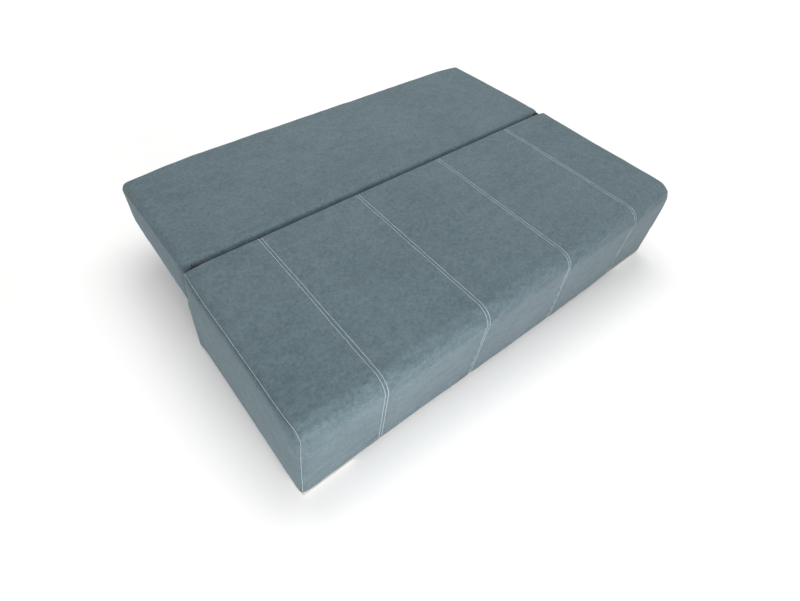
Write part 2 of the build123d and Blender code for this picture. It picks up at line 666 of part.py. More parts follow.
def make_back_upholstery():
    outer = back_form(0)
    inner = back_form(SKIN)
    skin = without(outer - inner, back_pocket())
    rise = REAR_COVER_RISE
    rear_zone = prism_yz(make_face(Polyline((BACK_JOINT - 5, 0), (OUTER + 50, 0),
                                            (OUTER + 50, BACK_UNDER_OUTER + rise + 5),
                                            (BACK_JOINT - 5, BACK_UNDER_JOINT + rise),
                                            close=True)), -HALF, HALF)
    save("back_cover", skin - rear_zone)
    save("back_rear_cover", skin & rear_zone)
    frame = block(-FRAME_HALF_LENGTH, FRAME_HALF_LENGTH, BACK_FRAME_JOINT, BACK_FRAME_OUTER, 0,
                  BACK_FOAM_BOTTOM)
    below = block(-HALF, HALF, 0, OUTER, 0, BACK_FRAME_BOTTOM)
    save("back_foam", without(inner - frame - below, back_pocket()))
    save("back_rear_padding", without(inner & below, back_pocket()))


def main():
    make_chest()
    make_feet()
    make_hinges()
    make_seat_frame()
    make_aprons()
    make_seat_upholstery()
    make_backrest_frame()
    make_back_upholstery()
    for name, volume in SAVED:
        print(f"{name}: {volume / 1000:.1f} cm3")


main()
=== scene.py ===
"""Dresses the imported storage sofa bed: velour covers, topstitching, timber, fittings, stage."""

import json
import math

import bmesh
import bpy
import numpy as np
from mathutils import Matrix, Vector
from mathutils.bvhtree import BVHTree
from mathutils.geometry import delaunay_2d_cdt


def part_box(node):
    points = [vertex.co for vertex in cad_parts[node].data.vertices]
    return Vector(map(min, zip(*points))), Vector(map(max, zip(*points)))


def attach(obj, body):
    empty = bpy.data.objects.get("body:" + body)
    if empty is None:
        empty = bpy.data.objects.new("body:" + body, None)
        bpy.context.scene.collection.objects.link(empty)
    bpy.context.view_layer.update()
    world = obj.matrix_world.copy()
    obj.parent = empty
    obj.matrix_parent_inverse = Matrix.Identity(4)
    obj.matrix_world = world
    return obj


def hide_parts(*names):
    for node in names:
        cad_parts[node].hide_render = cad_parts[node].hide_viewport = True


bl_info = {
    "name": "Storage sofa bed",
    "version": (1, 0, 0),
    "blender": (4, 5, 0),
    "location": "View3D > Sidebar > Sofa bed",
    "description": "Upholstery, finishes and stage of an unfolded storage sofa bed",
    "category": "Object",
}

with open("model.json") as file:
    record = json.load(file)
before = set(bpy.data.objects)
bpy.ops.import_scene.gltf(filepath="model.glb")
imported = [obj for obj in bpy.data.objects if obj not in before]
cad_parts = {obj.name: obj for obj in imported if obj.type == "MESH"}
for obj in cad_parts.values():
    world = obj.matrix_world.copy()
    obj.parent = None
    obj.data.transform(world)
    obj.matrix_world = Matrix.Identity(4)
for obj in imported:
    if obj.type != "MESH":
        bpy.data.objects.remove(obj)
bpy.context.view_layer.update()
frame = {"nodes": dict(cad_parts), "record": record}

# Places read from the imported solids, in metres
SEAT_LOW, SEAT_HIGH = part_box("seat_cover")
BACK_LOW, BACK_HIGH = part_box("back_cover")
BACK_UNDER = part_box("back_rear_cover")[0]
SIDE_LOW, SIDE_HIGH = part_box("side_cover_right")
BRACKET_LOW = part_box("base_bracket_right")[0]
BOLT_LOW, BOLT_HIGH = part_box("pivot_bolt_right")
AXIS = (BOLT_LOW + BOLT_HIGH) / 2


# Sizes and colours a user would change


class UpholsterySizes(bpy.types.PropertyGroup):
    crown: bpy.props.FloatProperty(
        name="Panel crown", description="How far each sewn panel stands above its seams",
        default=0.0045, unit="LENGTH")
    panel: bpy.props.FloatProperty(
        name="Panel width", description="Width of the three middle panels",
        default=0.435, unit="LENGTH")
    front_radius: bpy.props.FloatProperty(
        name="Front edge radius", description="Rounding of the seat's top front edge",
        default=0.062, unit="LENGTH")
    front_lean: bpy.props.FloatProperty(
        name="Front lean", description="How far the front face leans in at the bottom",
        default=0.025, unit="LENGTH")
    end_radius: bpy.props.FloatProperty(
        name="End edge radius", description="Rounding of the top end edges",
        default=0.033, unit="LENGTH")
    corner_radius: bpy.props.FloatProperty(
        name="Corner radius", description="Rounding of the upright front corners",
        default=0.015, unit="LENGTH")
    seat_crease: bpy.props.FloatProperty(
        name="Seat crease radius", description="Rounding of the seat's edge at the crease",
        default=0.010, unit="LENGTH")
    back_crease: bpy.props.FloatProperty(
        name="Backrest crease radius", description="Rounding of the backrest's edge at the crease",
        default=0.029, unit="LENGTH")
    stitch_gap: bpy.props.FloatProperty(
        name="Topstitch offset", description="Distance of a topstitch from its seam",
        default=0.0062, unit="LENGTH")
    cell: bpy.props.FloatProperty(
        name="Cloth cell", description="Size of the cells of the cloth",
        default=0.0075, unit="LENGTH")


class VelourColours(bpy.types.PropertyGroup):
    dark: bpy.props.FloatVectorProperty(
        name="Dark nap", description="Velour where the nap lies away from the light",
        default=(0.080, 0.120, 0.136), subtype="COLOR", min=0, max=1)
    light: bpy.props.FloatVectorProperty(
        name="Light nap", description="Velour where the nap catches the light",
        default=(0.139, 0.191, 0.211), subtype="COLOR", min=0, max=1)
    thread: bpy.props.FloatVectorProperty(
        name="Thread", description="Topstitching thread",
        default=(0.74, 0.83, 0.87), subtype="COLOR", min=0, max=1)


class StageSettings(bpy.types.PropertyGroup):
    sky: bpy.props.FloatProperty(
        name="Ambient level", description="Strength of the even light from all round",
        default=0.42, min=0)
    front: bpy.props.FloatProperty(
        name="Front level", description="Power of the low front softbox in watts",
        default=30.0, min=0)
    near: bpy.props.FloatProperty(
        name="Near level", description="Power of the softbox before the near corner in watts",
        default=34.0, min=0)
    overhead: bpy.props.FloatProperty(
        name="Overhead level", description="Power of the softbox above in watts",
        default=148.0, min=0)
    lift: bpy.props.FloatProperty(
        name="Floor lift", description="Whiteness added to the floor where the camera sees it",
        default=0.14, min=0)
    floor: bpy.props.FloatVectorProperty(
        name="Floor", description="Colour of the floor and the background",
        default=(0.92, 0.915, 0.91), subtype="COLOR", min=0, max=1)


SETTINGS = {
    "sofa_sizes": UpholsterySizes,
    "sofa_velour": VelourColours,
    "sofa_stage": StageSettings,
}


# Shader expressions


class Field:
    """A value that varies over a surface. Arithmetic on it adds Math nodes."""

    def __init__(self, shader, socket):
        self.shader = shader
        self.socket = socket

    def math(self, operation, first, second):
        settings = {"operation": operation}
        return self.shader.node("ShaderNodeMath", settings, {0: first, 1: second})

    def __add__(self, other):
        return self.math("ADD", self, other)

    def __sub__(self, other):
        return self.math("SUBTRACT", self, other)

    def __rsub__(self, other):
        return self.math("SUBTRACT", other, self)

    def __mul__(self, other):
        return self.math("MULTIPLY", self, other)

    __radd__ = __add__
    __rmul__ = __mul__


class Shader:
    """A material being built, with one method that adds any node."""

    def __init__(self, owner, surface="Principled BSDF", **uniform):
        self.owner = owner
        owner.use_nodes = True
        self.tree = owner.node_tree
        self.surface = self.tree.nodes[surface]
        for socket, value in uniform.items():
            self.surface.inputs[socket.replace("_", " ")].default_value = value

    def node(self, kind, settings=None, inputs=None, output=0):
        made = self.tree.nodes.new(kind)
        for name, value in (settings or {}).items():
            if name == "stops":
                self.set_stops(made.color_ramp, value)
            else:
                setattr(made, name, value)
        for name, value in (inputs or {}).items():
            if isinstance(value, Field):
                self.tree.links.new(value.socket, made.inputs[name])
            else:
                made.inputs[name].default_value = value
        return Field(self, made.outputs[output])

    def set_stops(self, ramp, stops):
        while len(ramp.elements) < len(stops):
            ramp.elements.new(0.5)
        for element, (place, colour) in zip(ramp.elements, stops):
            element.position = place
            element.color = colour

    def place(self):
        return self.node("ShaderNodeTexCoord", output="Object")

    def stretched(self, scale):
        inputs = {"Vector": self.place(), "Scale": scale}
        return self.node("ShaderNodeMapping", {}, inputs)

    def noise(self, scale, detail=3.0, roughness=0.5, distortion=0.0, vector=None):
        inputs = {"Vector": vector or self.place(), "Scale": scale, "Detail": detail,
                  "Roughness": roughness, "Distortion": distortion}
        return self.node("ShaderNodeTexNoise", {}, inputs)

    def ramp(self, value, *stops):
        solid = [(place, tuple(colour)[:3] + (1.0,)) for place, colour in stops]
        return self.node("ShaderNodeValToRGB", {"stops": solid}, {"Fac": value})

    def spread(self, value, low, high):
        inputs = {"Value": value, "From Min": low, "From Max": high}
        return self.node("ShaderNodeMapRange", {}, inputs)

    def feed(self, socket, value):
        self.tree.links.new(value.socket, self.surface.inputs[socket])

    def bump(self, height, strength, distance):
        inputs = {"Height": height, "Strength": strength, "Distance": distance}
        self.feed("Normal", self.node("ShaderNodeBump", {}, inputs))


def new_material(name):
    return bpy.data.materials.new(name)


def rgba(colour):
    return tuple(colour)[:3] + (1.0,)


def velour(name, sheen=0.32, tint=(0.78, 0.76, 0.80)):
    """Short-piled velour: brushed patches, mid mottling and fibre speckle."""
    colours = bpy.context.scene.sofa_velour
    shader = Shader(new_material(name), Roughness=0.9, Sheen_Weight=sheen,
                    Sheen_Roughness=0.42, Sheen_Tint=rgba(tint), Specular_IOR_Level=0.18)
    patches = shader.noise(3.0, detail=2.0, roughness=0.5, distortion=0.3)
    brushed = shader.noise(24.0, detail=3.0, roughness=0.55, distortion=0.4,
                           vector=shader.stretched((0.7, 1.0, 1.0)))
    mottle = shader.noise(75.0, detail=4.0, roughness=0.62)
    speckle = shader.noise(210.0, detail=3.0, roughness=0.6)
    tone = 0.13 * patches + 0.17 * brushed + 0.34 * mottle + 0.36 * speckle
    tone = shader.spread(tone, low=0.40, high=0.60)
    shader.feed("Base Color", shader.ramp(tone, (0.0, colours.dark), (1.0, colours.light)))
    shader.feed("Roughness", 0.80 + 0.14 * mottle)
    fibres = shader.noise(650.0, detail=3.0, roughness=0.6)
    shader.bump(0.5 * fibres + 0.5 * mottle, strength=0.30, distance=0.0005)
    return shader.owner


def thread_finish():
    colours = bpy.context.scene.sofa_velour
    shader = Shader(new_material("stitching_thread"), Roughness=0.55, Sheen_Weight=0.1)
    twist = shader.noise(900.0, detail=2.0, roughness=0.5)
    shaded = [channel * 0.8 for channel in colours.thread]
    shader.feed("Base Color", shader.ramp(twist, (0.3, shaded), (0.7, colours.thread)))
    shader.bump(twist, strength=0.4, distance=0.0003)
    return shader.owner


def timber_finish():
    shader = Shader(new_material("planed_pine"), Roughness=0.6)
    grain = shader.noise(7.0, detail=5.0, roughness=0.6, distortion=0.5,
                         vector=shader.stretched((0.6, 9.0, 9.0)))
    pores = shader.noise(160.0, detail=3.0, roughness=0.6,
                         vector=shader.stretched((0.2, 1.0, 1.0)))
    tone = 0.7 * grain + 0.3 * pores
    shader.feed("Base Color", shader.ramp(tone, (0.32, (0.42, 0.25, 0.12)),
                                          (0.52, (0.60, 0.40, 0.21)), (0.7, (0.70, 0.51, 0.30))))
    shader.feed("Roughness", 0.5 + 0.2 * pores)
    shader.bump(tone, strength=0.25, distance=0.0008)
    return shader.owner


def board_finish():
    """Raw plywood: broad veneer figure and fine fibres."""
    shader = Shader(new_material("raw_plywood"), Roughness=0.65)
    figure = shader.noise(5.0, detail=4.0, roughness=0.55, distortion=1.2,
                          vector=shader.stretched((0.8, 5.0, 3.0)))
    fibres = shader.noise(220.0, detail=2.0, roughness=0.6,
                          vector=shader.stretched((0.15, 1.0, 1.0)))
    tone = 0.65 * figure + 0.35 * fibres
    shader.feed("Base Color", shader.ramp(tone, (0.30, (0.40, 0.28, 0.16)),
                                          (0.50, (0.57, 0.43, 0.27)), (0.72, (0.68, 0.55, 0.38))))
    shader.bump(fibres, strength=0.2, distance=0.0006)
    return shader.owner


def hardboard_finish():
    shader = Shader(new_material("hardboard_panel"), Roughness=0.5)
    fleck = shader.noise(240.0, detail=4.0, roughness=0.7)
    cloud = shader.noise(6.0, detail=2.0, roughness=0.5)
    tone = 0.6 * fleck + 0.4 * cloud
    shader.feed("Base Color", shader.ramp(tone, (0.35, (0.13, 0.065, 0.03)),
                                          (0.65, (0.25, 0.14, 0.07))))
    shader.feed("Roughness", 0.4 + 0.25 * fleck)
    shader.bump(fleck, strength=0.15, distance=0.0004)
    return shader.owner


def felt_finish():
    shader = Shader(new_material("grey_felt"), Roughness=0.95, Sheen_Weight=0.2)
    fibres = shader.noise(500.0, detail=5.0, roughness=0.75, distortion=1.0)
    flecks = shader.noise(60.0, detail=3.0, roughness=0.7)
    tone = 0.6 * fibres + 0.4 * flecks
    shader.feed("Base Color", shader.ramp(tone, (0.35, (0.18, 0.17, 0.16)),
                                          (0.65, (0.40, 0.39, 0.37))))
    shader.bump(fibres, strength=0.6, distance=0.0015)
    return shader.owner


def webbing_finish():
    """Woven straps: fine crossing ribs under a light dust."""
    shader = Shader(new_material("woven_webbing"), Roughness=0.8)
    warp = shader.node("ShaderNodeTexWave", {"bands_direction": "X"},
                       {"Vector": shader.place(), "Scale": 90.0, "Distortion": 0.4})
    weft = shader.node("ShaderNodeTexWave", {"bands_direction": "Y"},
                       {"Vector": shader.place(), "Scale": 90.0, "Distortion": 0.4})
    weave = 0.5 * warp + 0.5 * weft
    dust = shader.noise(40.0, detail=3.0, roughness=0.6)
    tone = 0.6 * weave + 0.4 * dust
    shader.feed("Base Color", shader.ramp(tone, (0.2, (0.42, 0.38, 0.29)),
                                          (0.8, (0.64, 0.60, 0.49))))
    shader.bump(weave, strength=0.5, distance=0.001)
    return shader.owner


def lining_finish():
    """Thin non-woven cloth with its pattern of small pressed dots."""
    shader = Shader(new_material("nonwoven_lining"), Roughness=0.85)
    dots = shader.node("ShaderNodeTexVoronoi", {"feature": "F1"},
                       {"Vector": shader.place(), "Scale": 380.0, "Randomness": 0.15})
    fibres = shader.noise(300.0, detail=4.0, roughness=0.7)
    tone = 0.5 * dots + 0.5 * fibres
    shader.feed("Base Color", shader.ramp(tone, (0.3, (0.012, 0.012, 0.014)),
                                          (0.7, (0.045, 0.045, 0.05))))
    shader.bump(tone, strength=0.4, distance=0.0006)
    return shader.owner


def painted_steel_finish():
    shader = Shader(new_material("black_painted_steel"), Specular_IOR_Level=0.2)
    orange_peel = shader.noise(700.0, detail=2.0, roughness=0.5)
    wear = shader.noise(55.0, detail=4.0, roughness=0.65)
    shader.feed("Base Color", shader.ramp(wear, (0.45, (0.014, 0.015, 0.017)),
                                          (0.75, (0.032, 0.033, 0.036))))
    shader.feed("Roughness", 0.50 + 0.2 * wear)
    shader.bump(orange_peel, strength=0.12, distance=0.0003)
    return shader.owner


def zinc_finish():
    shader = Shader(new_material("zinc_plated_steel"), Metallic=1.0, Roughness=0.35)
    spangle = shader.noise(260.0, detail=3.0, roughness=0.6)
    shader.feed("Base Color", shader.ramp(spangle, (0.35, (0.42, 0.43, 0.44)),
                                          (0.65, (0.62, 0.63, 0.64))))
    shader.feed("Roughness", 0.26 + 0.2 * spangle)
    shader.bump(spangle, strength=0.08, distance=0.0003)
    return shader.owner


def foot_finish():
    """Satin silver-grey feet with a faint drawn grain along the sofa."""
    shader = Shader(new_material("silver_foot"), Metallic=0.35, Roughness=0.45)
    drawn = shader.noise(30.0, detail=4.0, roughness=0.6,
                         vector=shader.stretched((0.3, 14.0, 14.0)))
    shader.feed("Base Color", shader.ramp(drawn, (0.35, (0.47, 0.455, 0.43)),
                                          (0.65, (0.60, 0.585, 0.56))))
    shader.feed("Roughness", 0.38 + 0.18 * drawn)
    shader.bump(drawn, strength=0.1, distance=0.0003)
    return shader.owner


def black_plastic_finish():
    shader = Shader(new_material("black_plastic"), Roughness=0.5)
    grain = shader.noise(480.0, detail=3.0, roughness=0.6)
    shader.feed("Base Color", shader.ramp(grain, (0.3, (0.012, 0.012, 0.012)),
                                          (0.7, (0.03, 0.03, 0.03))))
    shader.bump(grain, strength=0.3, distance=0.0004)
    return shader.owner


FINISHES = {
    "timber": timber_finish,
    "board": board_finish,
    "hardboard": hardboard_finish,
    "felt": felt_finish,
    "webbing": webbing_finish,
    "lining": lining_finish,
    "fitting": painted_steel_finish,
    "steel": zinc_finish,
    "foot": foot_finish,
    "black_plastic": black_plastic_finish,
}


def finish_for(slot):
    """The material of a record slot, made once."""
    maker = FINISHES[slot]
    made = bpy.data.materials.get(slot + "_done")
    if made is None:
        made = maker()
        made.name = slot + "_done"
    return made


def dress(*slots):
    """Gives every shown CAD node of these record slots its finish."""
    for part in frame["record"]["subparts"]:
        if part["material_slot"] in slots:
            mesh = frame["nodes"][part["node"]].data
            mesh.materials.clear()
            mesh.materials.append(finish_for(part["material_slot"]))


# Upholstery: cloth grids that follow a side profile and turn round the ends

# turn of the end seam on the rounded edge: 0 is on top, a right angle is on the flat
SEAM_TURN = math.radians(58)
# distances of the cloth's columns from an end seam and from a panel seam
END_STEPS = [0.0, 0.0016, 0.0034, 0.0062, 0.0090, 0.0125, 0.0175, 0.0240, 0.0315, 0.0400]
SEAM_STEPS = [0.0, 0.0016, 0.0036, 0.0064, 0.0092, 0.0135, 0.0195]
# shares of the way from an end seam to the flat of the end
END_SHARES = [0.0, 0.08, 0.18, 0.32, 0.50, 0.70, 0.86, 1.0]

# points on a rounded corner: the fewest, and their spacing as a share of a cell
FEWEST_ON_ARC = 5
ARC_CELL = 0.6
# bend radius that stands for a straight row
STRAIGHT = 1.0
# largest end radius, as a share of the bend of the profile at the same row
BEND_SHARE = 0.72
# how fast the end radius may grow along the rows
EASE_RISE = 0.024
EASE_REACH = 0.10
EASE_SLOPE = 0.1

# room between the columns over the middle and those of the ends
END_CLEARANCE = 0.002
# where the columns start to spread: past the last seam, or at a share of a plain cover
BESIDE_SEAM = 0.03
PLAIN_ANCHOR = 0.3
# distance from a seam that a cover without seams is given
NO_SEAM = 1.0

# range of the wave lengths round their scale, and of the phases
PITCH_SPREAD = (0.6, 1.7)
LARGEST_PHASE = 6.28
# heights and wave lengths of the unevenness under the cloth
LUMP_RISE = 0.0008
LUMP_PITCH = 0.30
RIPPLE_RISE = 0.0004
RIPPLE_PITCH = 0.07
# distance of the groove under a topstitch from its seam
STITCH_GROOVE = 0.0063

# the cloth that is blown up: its cell, and the ripple from which it can buckle
TRIAL_CELL = 0.018
TRIAL_RISE = 0.0004
TRIAL_PITCH = 0.09
TRIAL_SEED = 5
# how near to a seam the cloth is held
HELD_BESIDE = 0.0095
# how near to a hem or to the joint face the cloth is held
HELD_HEM = 0.03
# shape of a drawn crown, and the share of the profile over which it fades at the hems
CROWN_SHAPE = 0.7
CROWN_FADE = 0.10
# the crown is what this percentage of the blown points stay under, kept between limits
CROWN_PERCENTILE = 96
CROWN_LIMITS = (-0.2, 1.12)
# share of the blown shape in the crown; the drawn one is the rest
BLOWN_SHARE = 0.75


def smoothstep(value):
    value = np.clip(value, 0.0, 1.0)
    return value * value * (3 - 2 * value)


def rising(value, start, width):
    """0 up to the start and 1 from a width beyond it, smooth between."""
    return smoothstep((value - start) / width)


def falling(value, end, width):
    """0 from the end onward and 1 up to a width before it, smooth between."""
    return smoothstep((end - value) / width)


def distance_along(path):
    """Distance walked from the start of a path at each of its points."""
    steps = np.linalg.norm(np.diff(path, axis=0), axis=1)
    return np.concatenate([[0], np.cumsum(steps)])


def from_axis(points):
    """Distance of each point from the line through the hinge pivots."""
    return np.hypot(points[..., 1] - AXIS.y, points[..., 2] - AXIS.z)


def corner_arc(before, here, after, radius):
    """Start, end and centre of the arc that rounds one corner of a path."""
    back = (before - here) / np.linalg.norm(before - here)
    ahead = (after - here) / np.linalg.norm(after - here)
    half = math.acos(np.clip(back @ ahead, -1, 1)) / 2
    reach = radius / math.tan(half)
    middle = (back + ahead) / np.linalg.norm(back + ahead)
    return here + back * reach, here + ahead * reach, here + middle * radius / math.sin(half)


def straight_run(start, end, cell):
    """Even points from a start to an end."""
    steps = max(1, round(np.linalg.norm(end - start) / cell))
    return [start + (end - start) * k / steps for k in range(steps + 1)]


def arc_run(start, end, centre, radius, cell):
    """Even points round an arc from its start, up to but without its end."""
    first = math.atan2(start[1] - centre[1], start[0] - centre[0])
    last = math.atan2(end[1] - centre[1], end[0] - centre[0])
    turn = (last - first + math.pi) % (2 * math.pi) - math.pi
    steps = max(FEWEST_ON_ARC, round(abs(turn) * radius / (cell * ARC_CELL)))
    angles = [first + turn * k / steps for k in range(steps)]
    return [centre + radius * np.array([math.cos(angle), math.sin(angle)]) for angle in angles]


def rounded_path(corners, radii, cell, closed=False):
    """Points along a polygon in (y, z) whose corners are arcs, with the radius at each."""
    corners = [np.array(corner, float) for corner in corners]
    count = len(corners)
    numbers = range(count) if closed else range(1, count - 1)
    arcs = [corner_arc(corners[i - 1], corners[i], corners[(i + 1) % count], radii[i])
            for i in numbers]
    points = []
    bends = []
    cursor = arcs[-1][1] if closed else corners[0]
    for number, (start, end, centre) in zip(numbers, arcs):
        straight = straight_run(cursor, start, cell)[:-1]
        bend = arc_run(start, end, centre, radii[number], cell)
        points += straight + bend
        bends += [STRAIGHT] * len(straight) + [radii[number]] * len(bend)
        cursor = end
    if not closed:
        straight = straight_run(cursor, corners[-1], cell)
        points += straight
        bends += [STRAIGHT] * len(straight)
    return np.array(points), np.array(bends)


class Loft:
    """A side profile swept along X, whose ends round over by a radius set for each row.

    The radius depends on which way the row faces: up, to the front, down or to the rear.
    """

    def __init__(self, points, bends, half, edge_radii, closed):
        self.points = points
        self.half = half
        self.closed = closed
        self.normals = self.outward()
        facing_y, facing_z = self.normals.T
        upper, front, lower, rear = edge_radii
        wanted = (upper * np.maximum(facing_z, 0) ** 2 + lower * np.minimum(facing_z, 0) ** 2
                  + front * np.minimum(facing_y, 0) ** 2 + rear * np.maximum(facing_y, 0) ** 2)
        self.radii = self.eased(np.minimum(wanted, BEND_SHARE * bends))

    def outward(self):
        """Unit normals, for a path that has the form on its left hand seen along +X."""
        if self.closed:
            along = np.roll(self.points, -1, 0) - np.roll(self.points, 1, 0)
        else:
            along = np.gradient(self.points, axis=0)
        along = along / np.linalg.norm(along, axis=1)[:, None]
        return np.stack([along[:, 1], -along[:, 0]], 1)

    def eased(self, radii):
        """Lets the end radius grow no faster than a gentle slope along the rows."""
        walk = distance_along(self.points)
        total = walk[-1] + np.linalg.norm(self.points[0] - self.points[-1])
        gap = np.abs(walk[:, None] - walk[None, :])
        if self.closed:
            gap = np.minimum(gap, total - gap)
        allowed = EASE_RISE * smoothstep(gap / EASE_REACH) + EASE_SLOPE * gap
        return (radii[None, :] + allowed).min(1)

    def turned(self, turn, side):
        """Row points on the rounded end edge and their normals, for an angle per row."""
        drop = self.radii * (1 - np.cos(turn))
        x = self.half - self.radii + self.radii * np.sin(turn)
        flat = self.points - self.normals * drop[:, None]
        normals = np.column_stack([side * np.sin(turn), np.cos(turn)[:, None] * self.normals])
        return np.column_stack([side * x, flat]), normals

    def before_seam(self, distance, side):
        """Row points at an arc distance inward from the end seam."""
        turn = SEAM_TURN - distance / self.radii
        points, normals = self.turned(np.maximum(turn, 0.0), side)
        points[:, 0] -= side * np.maximum(-turn, 0.0) * self.radii
        return points, normals

    def after_seam(self, share, side):
        """Row points at a share of the way from the end seam to the flat of the end."""
        turn = np.full(len(self.points), SEAM_TURN + (math.pi / 2 - SEAM_TURN) * share)
        return self.turned(turn, side)

    def across(self, x):
        """Row points over the middle of the form."""
        column = np.full((len(self.points), 1), x)
        flat = np.zeros((len(self.points), 1))
        return np.hstack([column, self.points]), np.hstack([flat, self.normals])


def stations_between(seams, reach, cell):
    """X stations over the middle of a cover, close together beside each seam."""
    marks = {-reach, reach}
    for seam in seams:
        for step in SEAM_STEPS:
            marks.add(round(seam + step, 5))
            marks.add(round(seam - step, 5))
    stations = [-reach]
    for mark in sorted(marks)[1:]:
        start = stations[-1]
        count = max(1, round((mark - start) / cell))
        stations += [start + (mark - start) * k / count for k in range(1, count + 1)]
    return stations


class ClothGrid:
    """Cloth points in rows along the profile and columns from end seam to end seam."""

    def __init__(self, loft, seams, cell):
        self.loft = loft
        self.seams = seams
        left = [loft.before_seam(distance, -1) for distance in END_STEPS]
        right = [loft.before_seam(distance, 1) for distance in reversed(END_STEPS)]
        middle, beside = self.over_the_middle(np.abs(left[-1][0][:, 0]), cell)
        columns = left + middle + right
        self.beside = np.array(END_STEPS + beside + END_STEPS[::-1])
        self.points = np.stack([points for points, _ in columns], 1)
        self.normals = np.stack([normals for _, normals in columns], 1)
        self.stations = self.points[:, :, 0].mean(0)
        walk = distance_along(loft.points)
        self.walk = walk / walk[-1]

    def over_the_middle(self, last, cell):
        """Columns between the ends, spread so that each row meets its own end column."""
        reach = last.min() - END_CLEARANCE
        anchor = abs(self.seams[-1]) + BESIDE_SEAM if self.seams else PLAIN_ANCHOR * reach
        columns = []
        beside = []
        for x in stations_between(self.seams, reach, cell)[1:-1]:
            points, normals = self.loft.across(x)
            if abs(x) > anchor:
                share = (abs(x) - anchor) / (reach - anchor)
                points[:, 0] = math.copysign(1, x) * (anchor + (last - anchor) * share)
            columns.append((points, normals))
            beside.append(min([abs(x - seam) for seam in self.seams] + [NO_SEAM]))
        return columns, beside

    def lifted(self, lift):
        return self.points + self.normals * lift[:, :, None]

    def from_end(self):
        """Distance of each point from the flat of the nearer end."""
        return self.loft.half - np.abs(self.points[..., 0])

    def panel_share(self):
        """0 at the seams beside a point and 1 in the middle of its panel."""
        edges = np.array([-self.loft.half] + list(self.seams) + [self.loft.half])
        x = self.points[:, :, 0]
        index = np.clip(np.searchsorted(edges, x) - 1, 0, len(edges) - 2)
        share = (x - edges[index]) / (edges[index + 1] - edges[index])
        return 1 - (2 * np.clip(share, 0.0, 1.0) - 1) ** 2


def waves(points, seed, scale, count=12):
    """Smooth irregular field around 0: a sum of sines with seeded directions."""
    picker = np.random.default_rng(seed)
    total = np.zeros(points.shape[:-1])
    for _ in range(count):
        direction = picker.normal(size=3)
        direction /= np.linalg.norm(direction)
        pitch = scale * picker.uniform(*PITCH_SPREAD)
        phase = picker.uniform(0, LARGEST_PHASE)
        total += np.sin(points @ direction * 2 * math.pi / pitch + phase)
    return total / math.sqrt(count)


def unevenness(points, seed):
    """Slight lumps of padding under the cloth, none at the tight crease."""
    lumps = LUMP_RISE * waves(points, seed, LUMP_PITCH)
    ripples = RIPPLE_RISE * waves(points, seed + 1, RIPPLE_PITCH)
    return (lumps + ripples) * rising(from_axis(points), start=0.03, width=0.05)


def groove(distance, depth, width):
    """Depth of a soft groove at a distance from its middle."""
    return depth * np.exp(-(distance / width) ** 2)


def seam_depth(distance):
    """How deep a topstitched seam pulls the cloth in, by the distance from it."""
    seam = groove(distance, depth=0.0016, width=0.0020)
    stitches = groove(distance - STITCH_GROOVE, depth=0.0008, width=0.0020)
    valley = groove(distance, depth=0.0012, width=0.014)
    return seam + stitches + valley


def end_seam_depth(distance, tightness=1.0):
    """The seam round an end: a narrow fold in a wide valley."""
    fold = groove(distance, depth=0.0022, width=0.0030)
    valley = groove(distance, depth=0.0034, width=0.022)
    return tightness * (fold + valley)


def mesh_from_grid(name, points, closed, left_out=None):
    """A mesh with a face in each cell of a grid of points, but for those left out."""
    rows, columns = points.shape[:2]
    faces = []
    for i in range(rows if closed else rows - 1):
        for j in range(columns - 1):
            if left_out is None or not left_out[i, j]:
                below = i * columns + j
                above = ((i + 1) % rows) * columns + j
                faces.append((below, below + 1, above + 1, above))
    mesh = bpy.data.meshes.new(name)
    mesh.from_pydata(points.reshape(-1, 3).tolist(), [], faces)
    mesh.update()
    return mesh


def mesh_from_shape(name, shape):
    mesh = bpy.data.meshes.new(name)
    shape.to_mesh(mesh)
    shape.free()
    return mesh


def coordinates(mesh):
    flat = np.empty(len(mesh.vertices) * 3)
    mesh.vertices.foreach_get("co", flat)
    return flat.reshape(-1, 3)


def new_piece(name, mesh, material, body):
    """Adds a smooth piece that rides on a body, without the points that no face uses."""
    loose = bmesh.new()
    loose.from_mesh(mesh)
    bmesh.ops.delete(loose, geom=[vert for vert in loose.verts if not vert.link_faces],
                     context="VERTS")
    loose.to_mesh(mesh)
    loose.free()
    piece = bpy.data.objects.new(name, mesh)
    bpy.context.scene.collection.objects.link(piece)
    mesh.materials.append(material)
    mesh.polygons.foreach_set("use_smooth", [True] * len(mesh.polygons))
    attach(piece, body)
    return piece


def add_cloth(trial, held, pressure):
    """Turns a mesh into cloth under pressure that is held at some of its points."""
    pins = trial.vertex_groups.new(name="held")
    pins.add(np.flatnonzero(held.ravel()).tolist(), 1.0, "REPLACE")
    cloth = trial.modifiers.new("cloth", "CLOTH").settings
    cloth.vertex_group_mass = "held"
    cloth.use_pressure = True
    cloth.uniform_pressure_force = pressure
    cloth.shrink_min = -0.006
    cloth.tension_stiffness = 40
    cloth.compression_stiffness = 40
    cloth.bending_stiffness = 2.0
    cloth.air_damping = 3.0
    cloth.effector_weights.gravity = 0


